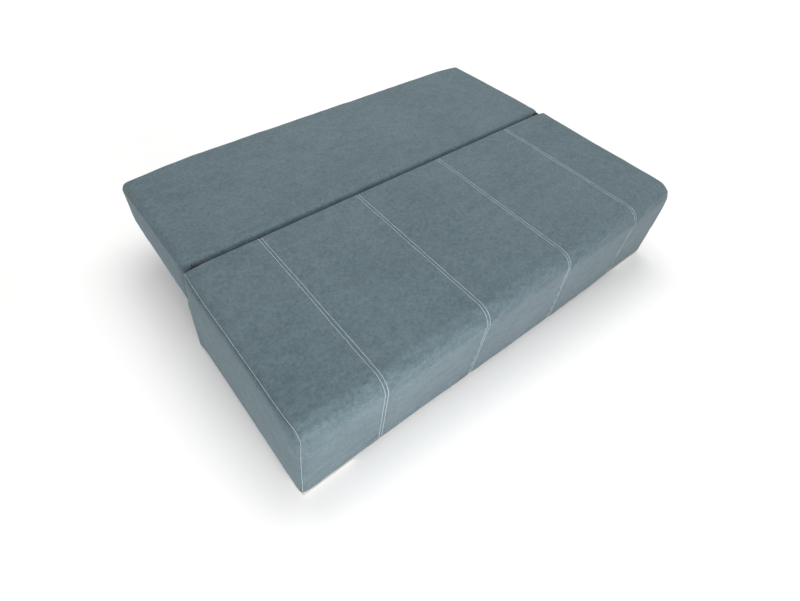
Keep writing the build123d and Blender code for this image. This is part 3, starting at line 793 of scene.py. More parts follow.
def inflated(grid, held, pressure=4.0, frames=20):
    """Blows up a coarse cloth held at its seams and returns how far each point rose."""
    start = grid.lifted(TRIAL_RISE * waves(grid.points, TRIAL_SEED, TRIAL_PITCH))
    mesh = mesh_from_grid("cloth_trial", start, grid.loft.closed)
    trial = bpy.data.objects.new("cloth_trial", mesh)
    bpy.context.scene.collection.objects.link(trial)
    add_cloth(trial, held, pressure)
    scene = bpy.context.scene
    for number in range(1, frames + 1):
        scene.frame_set(number)
    graph = bpy.context.evaluated_depsgraph_get()
    after = coordinates(trial.evaluated_get(graph).data).reshape(start.shape)
    scene.frame_set(1)
    bpy.data.objects.remove(trial)
    bpy.data.meshes.remove(mesh)
    return ((after - start) * grid.normals).sum(2)


def carried_over(values, coarse, fine):
    """Values of a coarse grid read at the rows and columns of a fine one."""
    across = np.stack([np.interp(fine.stations, coarse.stations, row) for row in values])
    return np.stack([np.interp(fine.walk, coarse.walk, column) for column in across.T], 1)


def crowned(make_loft, seams, fine, crown, held_rows):
    """Lift of a cover between its seams: partly blown up as cloth, partly drawn."""
    drawn = crown * fine.panel_share() ** CROWN_SHAPE
    if not fine.loft.closed:
        ends = smoothstep(fine.walk / CROWN_FADE) * smoothstep((1 - fine.walk) / CROWN_FADE)
        drawn = drawn * ends[:, None]
    coarse = ClothGrid(make_loft(TRIAL_CELL), seams, TRIAL_CELL)
    held = np.zeros(coarse.points.shape[:2], bool)
    held[held_rows(coarse)] = True
    held[:, coarse.beside < HELD_BESIDE] = True
    rose = inflated(coarse, held)
    full = max(np.percentile(rose, CROWN_PERCENTILE), 1e-6)
    rose = np.clip(rose / full, *CROWN_LIMITS) * crown
    return BLOWN_SHARE * carried_over(rose, coarse, fine) + (1 - BLOWN_SHARE) * drawn


# Fixed sizes of the hood and the backrest, in metres

# how far the profiles lie below the tops of the solids, before the crown is added
UNDER_CROWN = 0.004
# how far the front and the underside of the profiles stand out from the solids
FRONT_PROUD = 0.003
UNDER_PROUD = 0.0017
# corners of the backrest's outer edge in (y, z), before they are rounded
OUTER_UNDER = (BACK_HIGH.y - 0.056, 0.2225)
OUTER_TOP = (BACK_HIGH.y + 0.021, 0.3995)
OUTER_RADIUS = 0.040
UNDER_JOINT_RADIUS = 0.026
# radii of the end edges: the seat's rear, and the backrest's up, front, down and rear
SEAT_REAR_RADIUS = 0.010
BACK_END_RADII = (0.030, 0.012, 0.018, 0.026)

# how tightly each end seam pulls the cloth in
SEAT_SEAM = 1.0
BACK_SEAM = 0.35
# how far from an end its seam shapes the cover
END_SEAM_REACH = 0.05
# how far the flat of each end swells
SEAT_BULGE = 0.003
BACK_BULGE = 0.001
# how far the top and the underside of the backrest stand out at their highest
BACK_CROWN = 0.006
# rows whose normal leans to the front by more than this face the joint
JOINT_FACING = -0.3
# cells of the backrest's cloth against those of the seat's
PLAIN_CELL = 1.2
# seeds of the unevenness of each cover
SEAT_SEED = 11
BACK_SEED = 23
# the end panels take a shaded copy of the velour: painted shade, with less sheen and a bluer sheen
# tint, so the ends look darker and bluer than the seat
END_SHADE_SHEEN = 0.21
END_SHADE_TINT = (0.75, 0.92, 1.0)

# how far the front edge is set back at its ends
FRONT_BOW = 0.009
# how far the front hem is drawn in, at stations from left to right
HEM_STATIONS = [-0.95, -0.45, 0.0, 0.50, 0.72, 0.95]
HEM_DRAWN_IN = [0.011, 0.011, 0.005, 0.004, 0.010, 0.011]
# how far the panel seams drift to the right at the hem
DRIFT_STATIONS = [-0.95, -0.65, -0.22, 0.22, 0.65, 0.95]
SEAM_DRIFT = [0.0, 0.015, 0.008, 0.030, 0.026, 0.0]
# how far the rear edges of the hood's ends hang outward and back
REAR_END_OUT = 0.006
REAR_END_BACK = 0.012
# how far the outer corners of the backrest are drawn in and lowered
LEFT_DRAWN_IN = 0.017
RIGHT_DRAWN_IN = 0.009
LEFT_DROP = 0.007
RIGHT_DROP = 0.004

# room beside the hinge arms on their inner and outer sides
INNER_PLAY = 0.006
OUTER_PLAY = 0.003
# the dent round a hinge eye: its radius, and how it ends beside the slot
EYE_RADIUS = 0.0098
EYE_SIDE = 0.008
EYE_FADE = 0.006
# lowest and highest point of the slots for the hinge arms
SEAT_SLOT = (0.29, 0.402)
BACK_SLOT = (0.235, 0.402)
# outlines of the pockets behind the slots in (y, z), open at the joint face
SEAT_POCKET = [(0.0545, 0.4035), (0.038, 0.4035), (0.014, 0.402), (-0.022, 0.372),
               (-0.066, 0.322), (-0.066, 0.272), (0.0545, 0.272)]
BACK_POCKET = [(0.0745, 0.4015), (0.084, 0.403), (0.112, 0.398), (0.132, 0.306),
               (0.232, 0.306), (0.232, 0.234), (0.0675, 0.234)]

# how near to a joint face a point counts as on it, for a slot and for the rear hem
SLOT_FACE_DEPTH = 0.004
HEM_FACE_DEPTH = 0.006
# how far the cut goes past a slot's inner side and stops short of its outer side
CUT_PAST = 0.001
CUT_SHORT = 0.003
# how far above the lower edge of the rear rail the hood's rear panel ends
REAR_HEM_RISE = 0.044
# spacing of the points along the hem of an end and over its flat
HEM_CELL = 0.012
FLAT_CELL = 0.014
# spacing of the rows of spots, and their distance from the edge, as shares of a cell
ROW_PITCH = 0.87
EDGE_CLEARANCE = 0.6
# points this near to each other are one
SAME_POINT = 2e-5
# depth from the flat of an end in which its points swell
FLAT_DEPTH = 0.0025
# how the swelling of an end falls off towards its edge
BULGE_REACH = 0.06
BULGE_SHAPE = 1.4
BULGE_EDGE = 0.03


def seat_loft(cell):
    """The hood: from the rear hem over the top and down the front to the front hem."""
    sizes = bpy.context.scene.sofa_sizes
    top = SEAT_HIGH.z - UNDER_CROWN
    rear = SEAT_HIGH.y
    front = SEAT_LOW.y - FRONT_PROUD
    corners = [(rear, SIDE_LOW.z), (rear, top), (front, top),
               (front + sizes.front_lean, SIDE_LOW.z)]
    radii = [0.0, sizes.seat_crease, sizes.front_radius, 0.0]
    points, bends = rounded_path(corners, radii, cell)
    high = rising(points[:, 1], start=0.06, width=0.30)
    front_edge = sizes.corner_radius + (sizes.end_radius - sizes.corner_radius) * high
    edges = (sizes.end_radius, front_edge, 0.0, SEAT_REAR_RADIUS)
    return Loft(points, bends, SIDE_HIGH.x, edges, False)


def back_loft(cell):
    """The lying backrest: down the joint face, out along the underside, back over the top."""
    sizes = bpy.context.scene.sofa_sizes
    joint = BACK_LOW.y
    corners = [(joint, SEAT_HIGH.z - UNDER_CROWN), (joint, BACK_UNDER.z - UNDER_PROUD),
               OUTER_UNDER, OUTER_TOP]
    radii = [sizes.back_crease, UNDER_JOINT_RADIUS, OUTER_RADIUS, OUTER_RADIUS]
    points, bends = rounded_path(corners, radii, cell, closed=True)
    return Loft(points, bends, BACK_HIGH.x, BACK_END_RADII, True)


def pressed_in(points, corner, reach, push):
    """Rounds a corner of a cover: points near it move by up to the push."""
    gap = np.linalg.norm(points - np.array(corner), axis=-1)
    near = smoothstep(1 - gap / reach)
    return points + near[..., None] * np.array(push)


def front_hung(points):
    """Bows the front edge, draws the front hem in and lets the panel seams drift there."""
    x, y, z = points[..., 0].copy(), points[..., 1].copy(), points[..., 2].copy()
    front = rising(-y, start=0.52, width=0.14)
    low = front * falling(z, end=0.34, width=0.31)
    hem = np.interp(x, HEM_STATIONS, HEM_DRAWN_IN)
    bow = FRONT_BOW * rising(np.abs(x), start=0.60, width=0.30)
    points[..., 1] += front * bow + low * np.maximum(hem - bow, 0.0)
    points[..., 0] += low * np.interp(x, DRIFT_STATIONS, SEAM_DRIFT)


def rear_ends_hung(points):
    """Lets the rear edge of each end hang outward and back, below the hinge."""
    x, y, z = points[..., 0].copy(), points[..., 1].copy(), points[..., 2].copy()
    end = rising(np.abs(x), start=0.925, width=0.015)
    rear = end * rising(y, start=-0.03, width=0.08) * falling(z, end=0.31, width=0.06)
    points[..., 0] += REAR_END_OUT * np.sign(x) * rear
    points[..., 1] += REAR_END_BACK * rear


def seat_settled(points):
    """How the hood hangs: bowed front, drawn-in hem, loose rear ends, softened corners."""
    points = points.copy()
    front_hung(points)
    rear_ends_hung(points)
    for side in (-1, 1):
        corner = (side * SIDE_HIGH.x, SEAT_HIGH.y, SEAT_HIGH.z)
        points = pressed_in(points, corner, reach=0.100, push=(-side * 0.006, -0.001, -0.004))
        corner = (side * SIDE_HIGH.x, SEAT_LOW.y, SEAT_HIGH.z - 0.03)
        points = pressed_in(points, corner, reach=0.120, push=(-side * 0.006, 0.004, -0.002))
    return clear_of_hinge(points)


def back_settled(points):
    """The backrest's outer corners draw in, the left one more, and its joint corners round."""
    points = points.copy()
    x, y = points[..., 0].copy(), points[..., 1].copy()
    outer = rising(y, start=0.40, width=0.28)
    left = rising(-x, start=0.60, width=0.34)
    right = rising(x, start=0.78, width=0.17)
    points[..., 1] -= outer * (LEFT_DRAWN_IN * left + RIGHT_DRAWN_IN * right)
    points[..., 2] -= outer * (LEFT_DROP * left + RIGHT_DROP * right)
    for side in (-1, 1):
        corner = (side * BACK_HIGH.x, BACK_LOW.y, SEAT_HIGH.z)
        points = pressed_in(points, corner, reach=0.085, push=(-side * 0.005, 0.001, -0.005))
    return clear_of_hinge(points)


def clear_of_hinge(points):
    """Dents the cloth round the hinge eyes."""
    low, high = slot_span()
    x = np.abs(points[..., 0])
    wide = smoothstep((x - low + EYE_SIDE) / EYE_FADE)
    wide = wide * smoothstep((high + EYE_SIDE - x) / EYE_FADE)
    y = points[..., 1] - AXIS.y
    z = points[..., 2] - AXIS.z
    far = np.hypot(y, z)
    push = np.maximum(EYE_RADIUS - far, 0.0) * wide / np.maximum(far, 0.001)
    points[..., 1] += y * push
    points[..., 2] += z * push
    return points


def slot_span():
    """How far from the middle the slots for the hinge arms start and end."""
    return BRACKET_LOW.x - INNER_PLAY, BOLT_HIGH.x + OUTER_PLAY


def seat_seams():
    width = bpy.context.scene.sofa_sizes.panel
    return [width * n for n in (-1.5, -0.5, 0.5, 1.5)]


def slot_faces(points, face_y, low, high):
    """Which faces of a grid lie in the slots for the hinge arms."""
    low_x, high_x = slot_span()
    x = np.abs(points[..., 0])
    on_face = np.abs(points[..., 1] - face_y) < SLOT_FACE_DEPTH
    in_slot = (x > low_x - CUT_PAST) & (x < high_x - CUT_SHORT) & on_face
    return in_slot & (points[..., 2] > low) & (points[..., 2] < high)


class SOFABED_OT_seat_cover(bpy.types.Operator):
    """Sews the seat's five-panel velour cover over the hood"""

    bl_idname = "sofabed.seat_cover"
    bl_label = "Seat cover"

    def execute(self, context):
        sizes = context.scene.sofa_sizes
        seams = seat_seams()
        grid = ClothGrid(seat_loft(sizes.cell), seams, sizes.cell)

        def hems(coarse):
            rows = coarse.points[:, 0]
            near_rear = rows[:, 1] > SEAT_HIGH.y - HELD_HEM
            return near_rear | (rows[:, 2] < SIDE_LOW.z + HELD_HEM)

        lift = crowned(seat_loft, seams, grid, sizes.crown, hems)
        lift = lift * rising(from_axis(grid.points), start=0.02, width=0.10)
        lift = lift + unevenness(grid.points, SEAT_SEED)
        depth = np.where(grid.from_end() < END_SEAM_REACH,
                         end_seam_depth(grid.beside), seam_depth(grid.beside))
        points = seat_settled(grid.lifted(lift - depth))
        out = slot_faces(points, SEAT_HIGH.y, *SEAT_SLOT)
        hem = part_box("seat_rear_rail")[0].z + REAR_HEM_RISE
        out |= (points[..., 1] > SEAT_HIGH.y - HEM_FACE_DEPTH) & (points[..., 2] < hem)
        mesh = mesh_from_grid("seat_cover_cloth", points, False, out)
        piece = new_piece("seat_cover_cloth", mesh, velour("velour_seat"), "seat")
        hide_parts("seat_cover", "seat_foam", "apron_padding")
        return {"FINISHED"}


def inside(spots, outline):
    """Which spots lie inside an outline, both in (y, z)."""
    y, z = spots.T
    odd = np.zeros(len(spots), bool)
    for (y0, z0), (y1, z1) in zip(outline, np.roll(outline, -1, 0)):
        if abs(z1 - z0) > 1e-9:
            crosses = (z0 > z) != (z1 > z)
            odd ^= crosses & (y < y0 + (z - z0) * (y1 - y0) / (z1 - z0))
    return odd


def from_outline(spots, outline):
    """Distance of each spot from the nearest point of an outline."""
    return np.array([np.hypot(*(outline - spot).T).min() for spot in spots])


def flat_spots(outline, cell):
    """Staggered spots that fill an outline, clear of its edge."""
    low = outline.min(0)
    high = outline.max(0)
    spots = []
    for row, z in enumerate(np.arange(low[1], high[1], cell * ROW_PITCH)):
        shift = cell / 2 * (row % 2)
        spots += [(y + shift, z) for y in np.arange(low[0], high[0], cell)]
    spots = np.array(spots)
    spots = spots[inside(spots, outline)]
    return spots[from_outline(spots, outline) > EDGE_CLEARANCE * cell]


def end_strip(loft, side, seed, tightness):
    """Grid of an end panel's strip, from its seam round the edge to the flat."""
    strips = []
    for share in END_SHARES:
        points, normals = loft.after_seam(share, side)
        run = share * (math.pi / 2 - SEAM_TURN) * loft.radii
        lift = unevenness(points, seed) - end_seam_depth(run, tightness)
        strips.append(points + normals * lift[:, None])
    grid = np.stack(strips, 1)
    if not loft.closed:
        grid[[0, -1], :, 2] = SIDE_LOW.z
    return grid


def flat_outline(rim, closed):
    """Outline in (y, z) of the flat of an end: the strip's rim, with a hem if it is open."""
    if closed:
        return rim
    count = int(np.ptp(rim[[0, -1], 0]) / HEM_CELL)
    hem = [rim[-1] + (rim[0] - rim[-1]) * k / count for k in range(1, count)]
    return np.vstack([rim, hem])


def runs_clockwise(outline):
    y, z = outline.T
    return np.sum(y * np.roll(z, -1) - z * np.roll(y, -1)) < 0


def sew_strip(shape, grid, closed, outward):
    """Adds the faces of an end panel's strip."""
    rows, columns = grid.shape[:2]
    corners = [[shape.verts.new(grid[i, j]) for j in range(columns)] for i in range(rows)]
    for i in range(rows if closed else rows - 1):
        upper = corners[(i + 1) % rows]
        for j in range(columns - 1):
            quad = [corners[i][j], corners[i][j + 1], upper[j + 1], upper[j]]
            shape.faces.new(quad if outward else quad[::-1])


def sew_flat(shape, outline, rim_x, flat_x):
    """Fills the flat of an end with small triangles that meet the strip at its rim."""
    spots = np.vstack([outline, flat_spots(outline, FLAT_CELL)])
    order = list(range(len(outline)))
    if runs_clockwise(outline):
        order = order[::-1]
    flat = delaunay_2d_cdt([Vector(spot) for spot in spots], [], [order], 1, 1e-7)
    across = np.concatenate([rim_x, np.full(len(spots) - len(rim_x), flat_x)])
    places = []
    for spot, origin in zip(flat[0], flat[3]):
        x = across[origin[0]] if origin else flat_x
        places.append(shape.verts.new((x, spot.x, spot.y)))
    for face in flat[2]:
        loop = [places[k] for k in face]
        shape.faces.new(loop if flat_x > 0 else loop[::-1])


def bulged(points, half, side, outline, bulge, seed):
    """Pushes the flat of an end outward, by less towards its edge."""
    on_flat = np.abs(points[:, 0]) > half - FLAT_DEPTH
    gaps = from_outline(points[:, 1:], outline)
    swell = bulge * (1 - np.exp(-(gaps / BULGE_REACH) ** BULGE_SHAPE)) + unevenness(points, seed)
    swell *= smoothstep(gaps / BULGE_EDGE)
    points[:, 0] += side * np.where(on_flat, swell, 0.0)
    return points


def end_panel(loft, side, name, settle, seed, bulge, tightness):
    """The cloth of one end: a strip from the seam round the edge, then the flat of the end."""
    grid = end_strip(loft, side, seed, tightness)
    outline = flat_outline(grid[:, -1, 1:], loft.closed)
    shape = bmesh.new()
    sew_strip(shape, grid, loft.closed, (side > 0) == runs_clockwise(outline))
    sew_flat(shape, outline, grid[:, -1, 0], side * loft.half)
    bmesh.ops.remove_doubles(shape, verts=shape.verts, dist=SAME_POINT)
    mesh = mesh_from_shape(name, shape)
    points = bulged(coordinates(mesh), loft.half, side, outline, bulge, seed + 3)
    mesh.vertices.foreach_set("co", settle(points).astype(np.float32).ravel())
    mesh.update()
    return mesh


class SOFABED_OT_side_panels(bpy.types.Operator):
    """Sews the end panels of the seat's hood"""

    bl_idname = "sofabed.side_panels"
    bl_label = "Side panels"

    def execute(self, context):
        loft = seat_loft(context.scene.sofa_sizes.cell)
        # shaded copy of the velour for the ends: painted shade, with less sheen and a bluer sheen
        # tint than the seat's
        cloth = velour("velour_side", END_SHADE_SHEEN, END_SHADE_TINT)
        for side, word in ((-1, "left"), (1, "right")):
            name = "side_panel_" + word
            mesh = end_panel(loft, side, name, seat_settled, SEAT_SEED, SEAT_BULGE, SEAT_SEAM)
            piece = new_piece(name, mesh, cloth, "seat")
            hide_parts("side_cover_" + word)
        return {"FINISHED"}


class SOFABED_OT_backrest_cover(bpy.types.Operator):
    """Sews the plain velour cover of the backrest and its two end panels"""

    bl_idname = "sofabed.backrest_cover"
    bl_label = "Backrest cover"

    def execute(self, context):
        sizes = context.scene.sofa_sizes
        grid = ClothGrid(back_loft(sizes.cell), [], sizes.cell * PLAIN_CELL)

        def frame_edges(coarse):
            rows = coarse.points[:, 0]
            faces_joint = coarse.loft.normals[:, 1] < JOINT_FACING
            return (rows[:, 1] < BACK_LOW.y + HELD_HEM) | faces_joint

        lift = crowned(back_loft, [], grid, BACK_CROWN, frame_edges)
        lift = lift * rising(from_axis(grid.points), start=0.02, width=0.12)
        lift = lift * rising(grid.from_end(), start=0.0, width=0.10)
        lift = lift + unevenness(grid.points, BACK_SEED)
        points = back_settled(grid.lifted(lift - end_seam_depth(grid.beside, BACK_SEAM)))
        out = slot_faces(points, BACK_LOW.y, *BACK_SLOT)
        mesh = mesh_from_grid("backrest_cover_cloth", points, True, out)
        cloth = velour("velour_backrest")
        # shaded copy of the velour for the ends: painted shade, with less sheen and a bluer sheen
        # tint than the top's
        shaded_end_cloth = velour("velour_backrest_end", END_SHADE_SHEEN, END_SHADE_TINT)
        piece = new_piece("backrest_cover_cloth", mesh, cloth, "backrest")
        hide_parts("back_cover", "back_foam", "back_rear_cover", "back_rear_padding")
        for side, word in ((-1, "left"), (1, "right")):
            name = "backrest_end_" + word
            mesh = end_panel(grid.loft, side, name, back_settled, BACK_SEED, BACK_BULGE, BACK_SEAM)
            new_piece(name, mesh, shaded_end_cloth, "backrest")
        return {"FINISHED"}


def pocket_walls(shape, outline, low, high):
    """Adds a lined pocket: a strip round an open outline in (y, z) and its two cheeks."""
    rims = []
    for x in (low, high):
        rims.append([shape.verts.new((x, y, z)) for y, z in outline])
    for k in range(len(outline) - 1):
        shape.faces.new((rims[0][k], rims[0][k + 1], rims[1][k + 1], rims[1][k]))
    for x in (low, high):
        shape.faces.new([shape.verts.new((x, y, z)) for y, z in outline])


class SOFABED_OT_hinge_pockets(bpy.types.Operator):
    """Lines the pockets in which the hinge arms move"""

    bl_idname = "sofabed.hinge_pockets"
    bl_label = "Hinge pockets"

    def execute(self, context):
        low, high = slot_span()
        for body, outline in (("seat", SEAT_POCKET), ("backrest", BACK_POCKET)):
            shape = bmesh.new()
            for sign in (-1, 1):
                pocket_walls(shape, outline, sign * low, sign * high)
            name = body + "_hinge_pockets"
            mesh = mesh_from_shape(name, shape)
            new_piece(name, mesh, finish_for("lining"), body)
            mesh.polygons.foreach_set("use_smooth", [False] * len(mesh.polygons))
        return {"FINISHED"}


# Topstitching

# distance of the single row round each end from the end seam
END_STITCH = 0.0035
# how far from the front hem and from the rear the stitches stop
STITCH_HEM = 0.006
STITCH_REAR = 0.003
# how far to look along a path for its direction
LOOK_AHEAD = 0.001


def places_on(path, walk, marks):
    """Places on a path at distances walked along it."""
    return np.stack([np.interp(marks, walk, path[:, k]) for k in range(3)], 1)


def resample(path, pitch):
    """Even stations along a path of points: their places and directions."""
    walk = distance_along(path)
    count = int(walk[-1] / pitch)
    marks = (np.arange(count) + 0.5) * walk[-1] / count
    ahead = places_on(path, walk, marks + LOOK_AHEAD)
    behind = places_on(path, walk, marks - LOOK_AHEAD)
    along = ahead - behind
    return places_on(path, walk, marks), along / np.linalg.norm(along, axis=1)[:, None]


def stitch_shape(length, radius):
    """Cross-sections of one stitch, sunk at both ends: (along, height, thickness)."""
    sunk = (-0.9 * radius, 0.45 * radius)
    shoulder = (0.1 * radius, radius)
    return [(-0.5 * length, *sunk), (-0.36 * length, *shoulder),
            (0.0, 0.45 * radius, radius * 1.05),
            (0.36 * length, *shoulder), (0.5 * length, *sunk)]


def band(shape, first, second):
    """Adds the faces between two rings with the same number of points."""
    for k in range(len(first)):
        n = (k + 1) % len(first)
        shape.faces.new((first[k], first[n], second[n], second[k]))


def add_stitches(shape, surface, path, pitch=0.0072, length=0.0053, radius=0.00074, sides=6):
    """Lays a row of stitches on the cloth along a path."""
    angles = [2 * math.pi * k / sides for k in range(sides)]
    for place, direction in zip(*resample(path, pitch)):
        hit, normal, _, _ = surface.find_nearest(Vector(place))
        ahead = Vector(direction)
        ahead = (ahead - normal * ahead.dot(normal)).normalized()
        beside = normal.cross(ahead)
        offsets = [beside * math.cos(angle) + normal * math.sin(angle) for angle in angles]
        rings = []
        for step, height, thick in stitch_shape(length, radius):
            centre = hit + ahead * step + normal * height
            rings.append([shape.verts.new(centre + offset * thick) for offset in offsets])
        for first, second in zip(rings, rings[1:]):
            band(shape, first, second)
        shape.faces.new(rings[0][::-1])
        shape.faces.new(rings[-1])


class SOFABED_OT_topstitching(bpy.types.Operator):
    """Runs the pale double topstitching along the seams and a single row round each end"""

    bl_idname = "sofabed.topstitching"
    bl_label = "Topstitching"

    def execute(self, context):
        sizes = context.scene.sofa_sizes
        cover = bpy.data.objects["seat_cover_cloth"]
        surface = BVHTree.FromPolygons(
            [vertex.co for vertex in cover.data.vertices],
            [list(face.vertices) for face in cover.data.polygons])
        loft = seat_loft(sizes.cell)
        y, z = loft.points.T
        off_rear = (y < SEAT_HIGH.y - STITCH_REAR) | (z > AXIS.z)
        shown = (z > SIDE_LOW.z + STITCH_HEM) & off_rear
        offsets = (-sizes.stitch_gap, sizes.stitch_gap)
        columns = [loft.across(seam + offset) for seam in seat_seams() for offset in offsets]
        columns += [loft.before_seam(END_STITCH, side) for side in (-1, 1)]
        shape = bmesh.new()
        for points, _ in columns:
            add_stitches(shape, surface, seat_settled(points[shown]))
        mesh = mesh_from_shape("seat_topstitching", shape)
        new_piece("seat_topstitching", mesh, thread_finish(), "seat")
        return {"FINISHED"}


# Hem under the aprons and screws under the feet

# how far the lower edge lies behind the foremost point of the hood
HEM_FRONT = 0.0245
# how far the hem stops short of the rear, where the end panels round over
HEM_END = 0.0105
# how far the fold lies above the lower edge, clear of the boards, and up inside them
HEM_LIFT = 0.0006
HEM_CLEARANCE = 0.0008
HEM_TURN_UP = 0.034
# rounding of the hem's front corners
HEM_CORNER = 0.015
SMALLEST_CORNER = 0.002
CORNER_STEPS = 6
# distance of the front screws from the edges of the foot and the boards
SCREW_INSET = 0.036
# half the thickness of a side board
HALF_BOARD = 0.009
# distance of the rear screws from the ends of the chest
REAR_FOOT_INSET = 0.060
# underside, radius and height of a screw head
SCREW_LEVEL = 0.0045
SCREW_RADIUS = 0.0046
SCREW_HEIGHT = 0.0035


def hem_outline(inset):
    """The hood's lower edge as seen from below, drawn in by an inset."""
    front = SEAT_LOW.y + HEM_FRONT + inset
    end = SIDE_HIGH.x - inset
    rear = SEAT_HIGH.y - HEM_END - inset
    corner = max(HEM_CORNER - inset, SMALLEST_CORNER)
    half = [(-end, rear), (-end, 0.0)]
    for k in range(CORNER_STEPS + 1):
        angle = math.pi + k * math.pi / (2 * CORNER_STEPS)
        half.append((-end + corner + corner * math.cos(angle),
                     front + corner + corner * math.sin(angle)))
    return half + [(-x, y) for x, y in reversed(half)]


class SOFABED_OT_apron_hem(bpy.types.Operator):
    """Folds the cover's hem under the aprons and up inside them"""

    bl_idname = "sofabed.apron_hem"
    bl_label = "Apron hem"

    def execute(self, context):
        under = SIDE_LOW.z + HEM_LIFT
        inner = SIDE_HIGH.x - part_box("side_apron_board_right")[0].x + HEM_CLEARANCE
        # the fold's section as inset and level, from its outer to its inner face
        outer_edge = [(0.0006, under + 0.004), (0.0012, under + 0.0004), (0.004, under)]
        inner_edge = [(inner - 0.003, under), (inner, under + 0.002),
                      (inner, under + HEM_TURN_UP)]
        rings = []
        for inset, level in outer_edge + inner_edge:
            rings.append(seat_settled(np.array([(x, y, level) for x, y in hem_outline(inset)])))
        mesh = mesh_from_grid("apron_hem", np.array(rings[::-1]), False)
        new_piece("apron_hem", mesh, velour("velour_hem"), "seat")
        return {"FINISHED"}


def ring_at(shape, centre, reaches, level):
    """Adds a level ring of points round a centre, each at its own reach."""
    ring = []
    for k, reach in enumerate(reaches):
        angle = 2 * math.pi * k / len(reaches)
        offset = Vector((math.cos(angle) * reach, math.sin(angle) * reach, level))
        ring.append(shape.verts.new(centre + offset))
    return ring


def screw_head(shape, centre, radius, height, sides=20):
    """A pan head with a cross recess, facing down."""
    # reach and level of each ring, from the underside up
    outline = [(radius * 0.55, 0.0), (radius * 0.86, height * 0.25),
               (radius, height * 0.7), (radius, height)]
    rings = [ring_at(shape, centre, [reach] * sides, level) for reach, level in outline]
    for lower, upper in zip(rings, rings[1:]):
        band(shape, upper, lower)
    cross = [radius * (0.42 if k % 5 in (0, 1) else 0.14) for k in range(sides)]
    recess = ring_at(shape, centre, cross, height * 0.35)
    band(shape, rings[0], recess)
    shape.faces.new(recess[::-1])
    shape.faces.new(rings[-1])


class SOFABED_OT_foot_screws(bpy.types.Operator):
    """Drives the screws up through the recesses under the feet"""

    bl_idname = "sofabed.foot_screws"
    bl_label = "Foot screws"

    def execute(self, context):
        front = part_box("chest_front_board")
        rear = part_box("chest_rear_board")
        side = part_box("chest_side_board_right")
        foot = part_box("front_foot_right")
        front_y = (front[0].y + front[1].y) / 2
        rear_y = (rear[0].y + rear[1].y) / 2
        places = [(foot[0].x + SCREW_INSET, front_y), (side[1].x - SCREW_INSET, front_y),
                  (side[1].x - HALF_BOARD, front[0].y + SCREW_INSET),
                  (side[1].x - REAR_FOOT_INSET, rear_y)]
        shape = bmesh.new()
        for x, y in places:
            for sign in (-1, 1):
                centre = Vector((sign * x, y, SCREW_LEVEL))
                screw_head(shape, centre, SCREW_RADIUS, SCREW_HEIGHT)
        mesh = mesh_from_shape("foot_screws", shape)
        new_piece("foot_screws", mesh, finish_for("steel"), "base")
        return {"FINISHED"}


# Finishes of the carried-over solids


class SOFABED_OT_chest_finish(bpy.types.Operator):
    """Finishes the boards, battens and panel of the storage chest"""

    bl_idname = "sofabed.chest_finish"
    bl_label = "Storage chest"

    def execute(self, context):
        dress("board", "hardboard")
        return {"FINISHED"}


class SOFABED_OT_frame_finish(bpy.types.Operator):
    """Finishes the rails, webbing, felt and underside cloth"""

    bl_idname = "sofabed.frame_finish"
    bl_label = "Frames"

    def execute(self, context):
        dress("timber", "webbing", "felt", "lining")
        return {"FINISHED"}


def blackened_finish():
    """Oiled black oxide, rubbed a little paler in places."""
    shader = Shader(new_material("blackened_steel"), Metallic=1.0, Roughness=0.5)
    rubbed = shader.noise(320.0, detail=4.0, roughness=0.65)
    shader.feed("Base Color", shader.ramp(rubbed, (0.35, (0.020, 0.020, 0.022)),
                                          (0.70, (0.055, 0.054, 0.052))))
    shader.feed("Roughness", 0.42 + 0.2 * rubbed)
    shader.bump(rubbed, strength=0.1, distance=0.0003)
    return shader.owner


class SOFABED_OT_fittings_finish(bpy.types.Operator):
    """Finishes the hinge fittings, bolts and feet; the bolts in the crease are blackened"""

    bl_idname = "sofabed.fittings_finish"
    bl_label = "Fittings and feet"

    def execute(self, context):
        dress("fitting", "steel", "foot", "black_plastic")
        blackened = blackened_finish()
        for name, node in frame["nodes"].items():
            if name.startswith("pivot_") and "pawl" not in name:
                node.data.materials[0] = blackened
        return {"FINISHED"}


# Stage

# the photograph's camera: its place and axes, and its lens in pixels
CAMERA_PLACE = Vector((-1.24557, -1.33785, 1.83486))
CAMERA_RIGHT = Vector((0.7732, -0.6308, 0.0646))
CAMERA_DOWN = Vector((-0.3985, -0.5627, -0.7243))
CAMERA_AHEAD = Vector((0.4932, 0.5343, -0.6865))
FOCAL_PIXELS = 554.41
IMAGE_WIDTH = 800
IMAGE_HEIGHT = 601
PRINCIPAL_ROW = 235.27
SENSOR = 36.0

FLOOR_REACH = 60.0
# the floor whitens between these distances from its middle, by up to this much
FAR_START = 1.7
FAR_END = 5.0
FAR_LIFT = 0.6

# where each softbox stands, what it faces, and its width and height
SOFTBOXES = {
    "front": dict(place=(-1.6, -3.3, 0.95), target=(-0.5, -0.7, 0.2), size=(2.0, 1.1)),
    "near": dict(place=(-1.1, -2.7, 0.8), target=(-0.5, -0.7, 0.2), size=(1.6, 0.9)),
    "overhead": dict(place=(0.7, 1.0, 4.6), target=(0.3, 0.7, 0.4), size=(4.0, 3.4)),
}


def add_camera():
    data = bpy.data.cameras.new("camera")
    data.sensor_fit = "HORIZONTAL"
    data.sensor_width = SENSOR
    data.lens = FOCAL_PIXELS / IMAGE_WIDTH * SENSOR
    data.shift_y = (PRINCIPAL_ROW - IMAGE_HEIGHT / 2) / IMAGE_WIDTH
    camera = bpy.data.objects.new("camera", data)
    turn = Matrix((CAMERA_RIGHT, -CAMERA_DOWN, -CAMERA_AHEAD)).transposed()
    camera.matrix_world = Matrix.Translation(CAMERA_PLACE) @ turn.to_4x4()
    bpy.context.scene.collection.objects.link(camera)
    bpy.context.scene.camera = camera


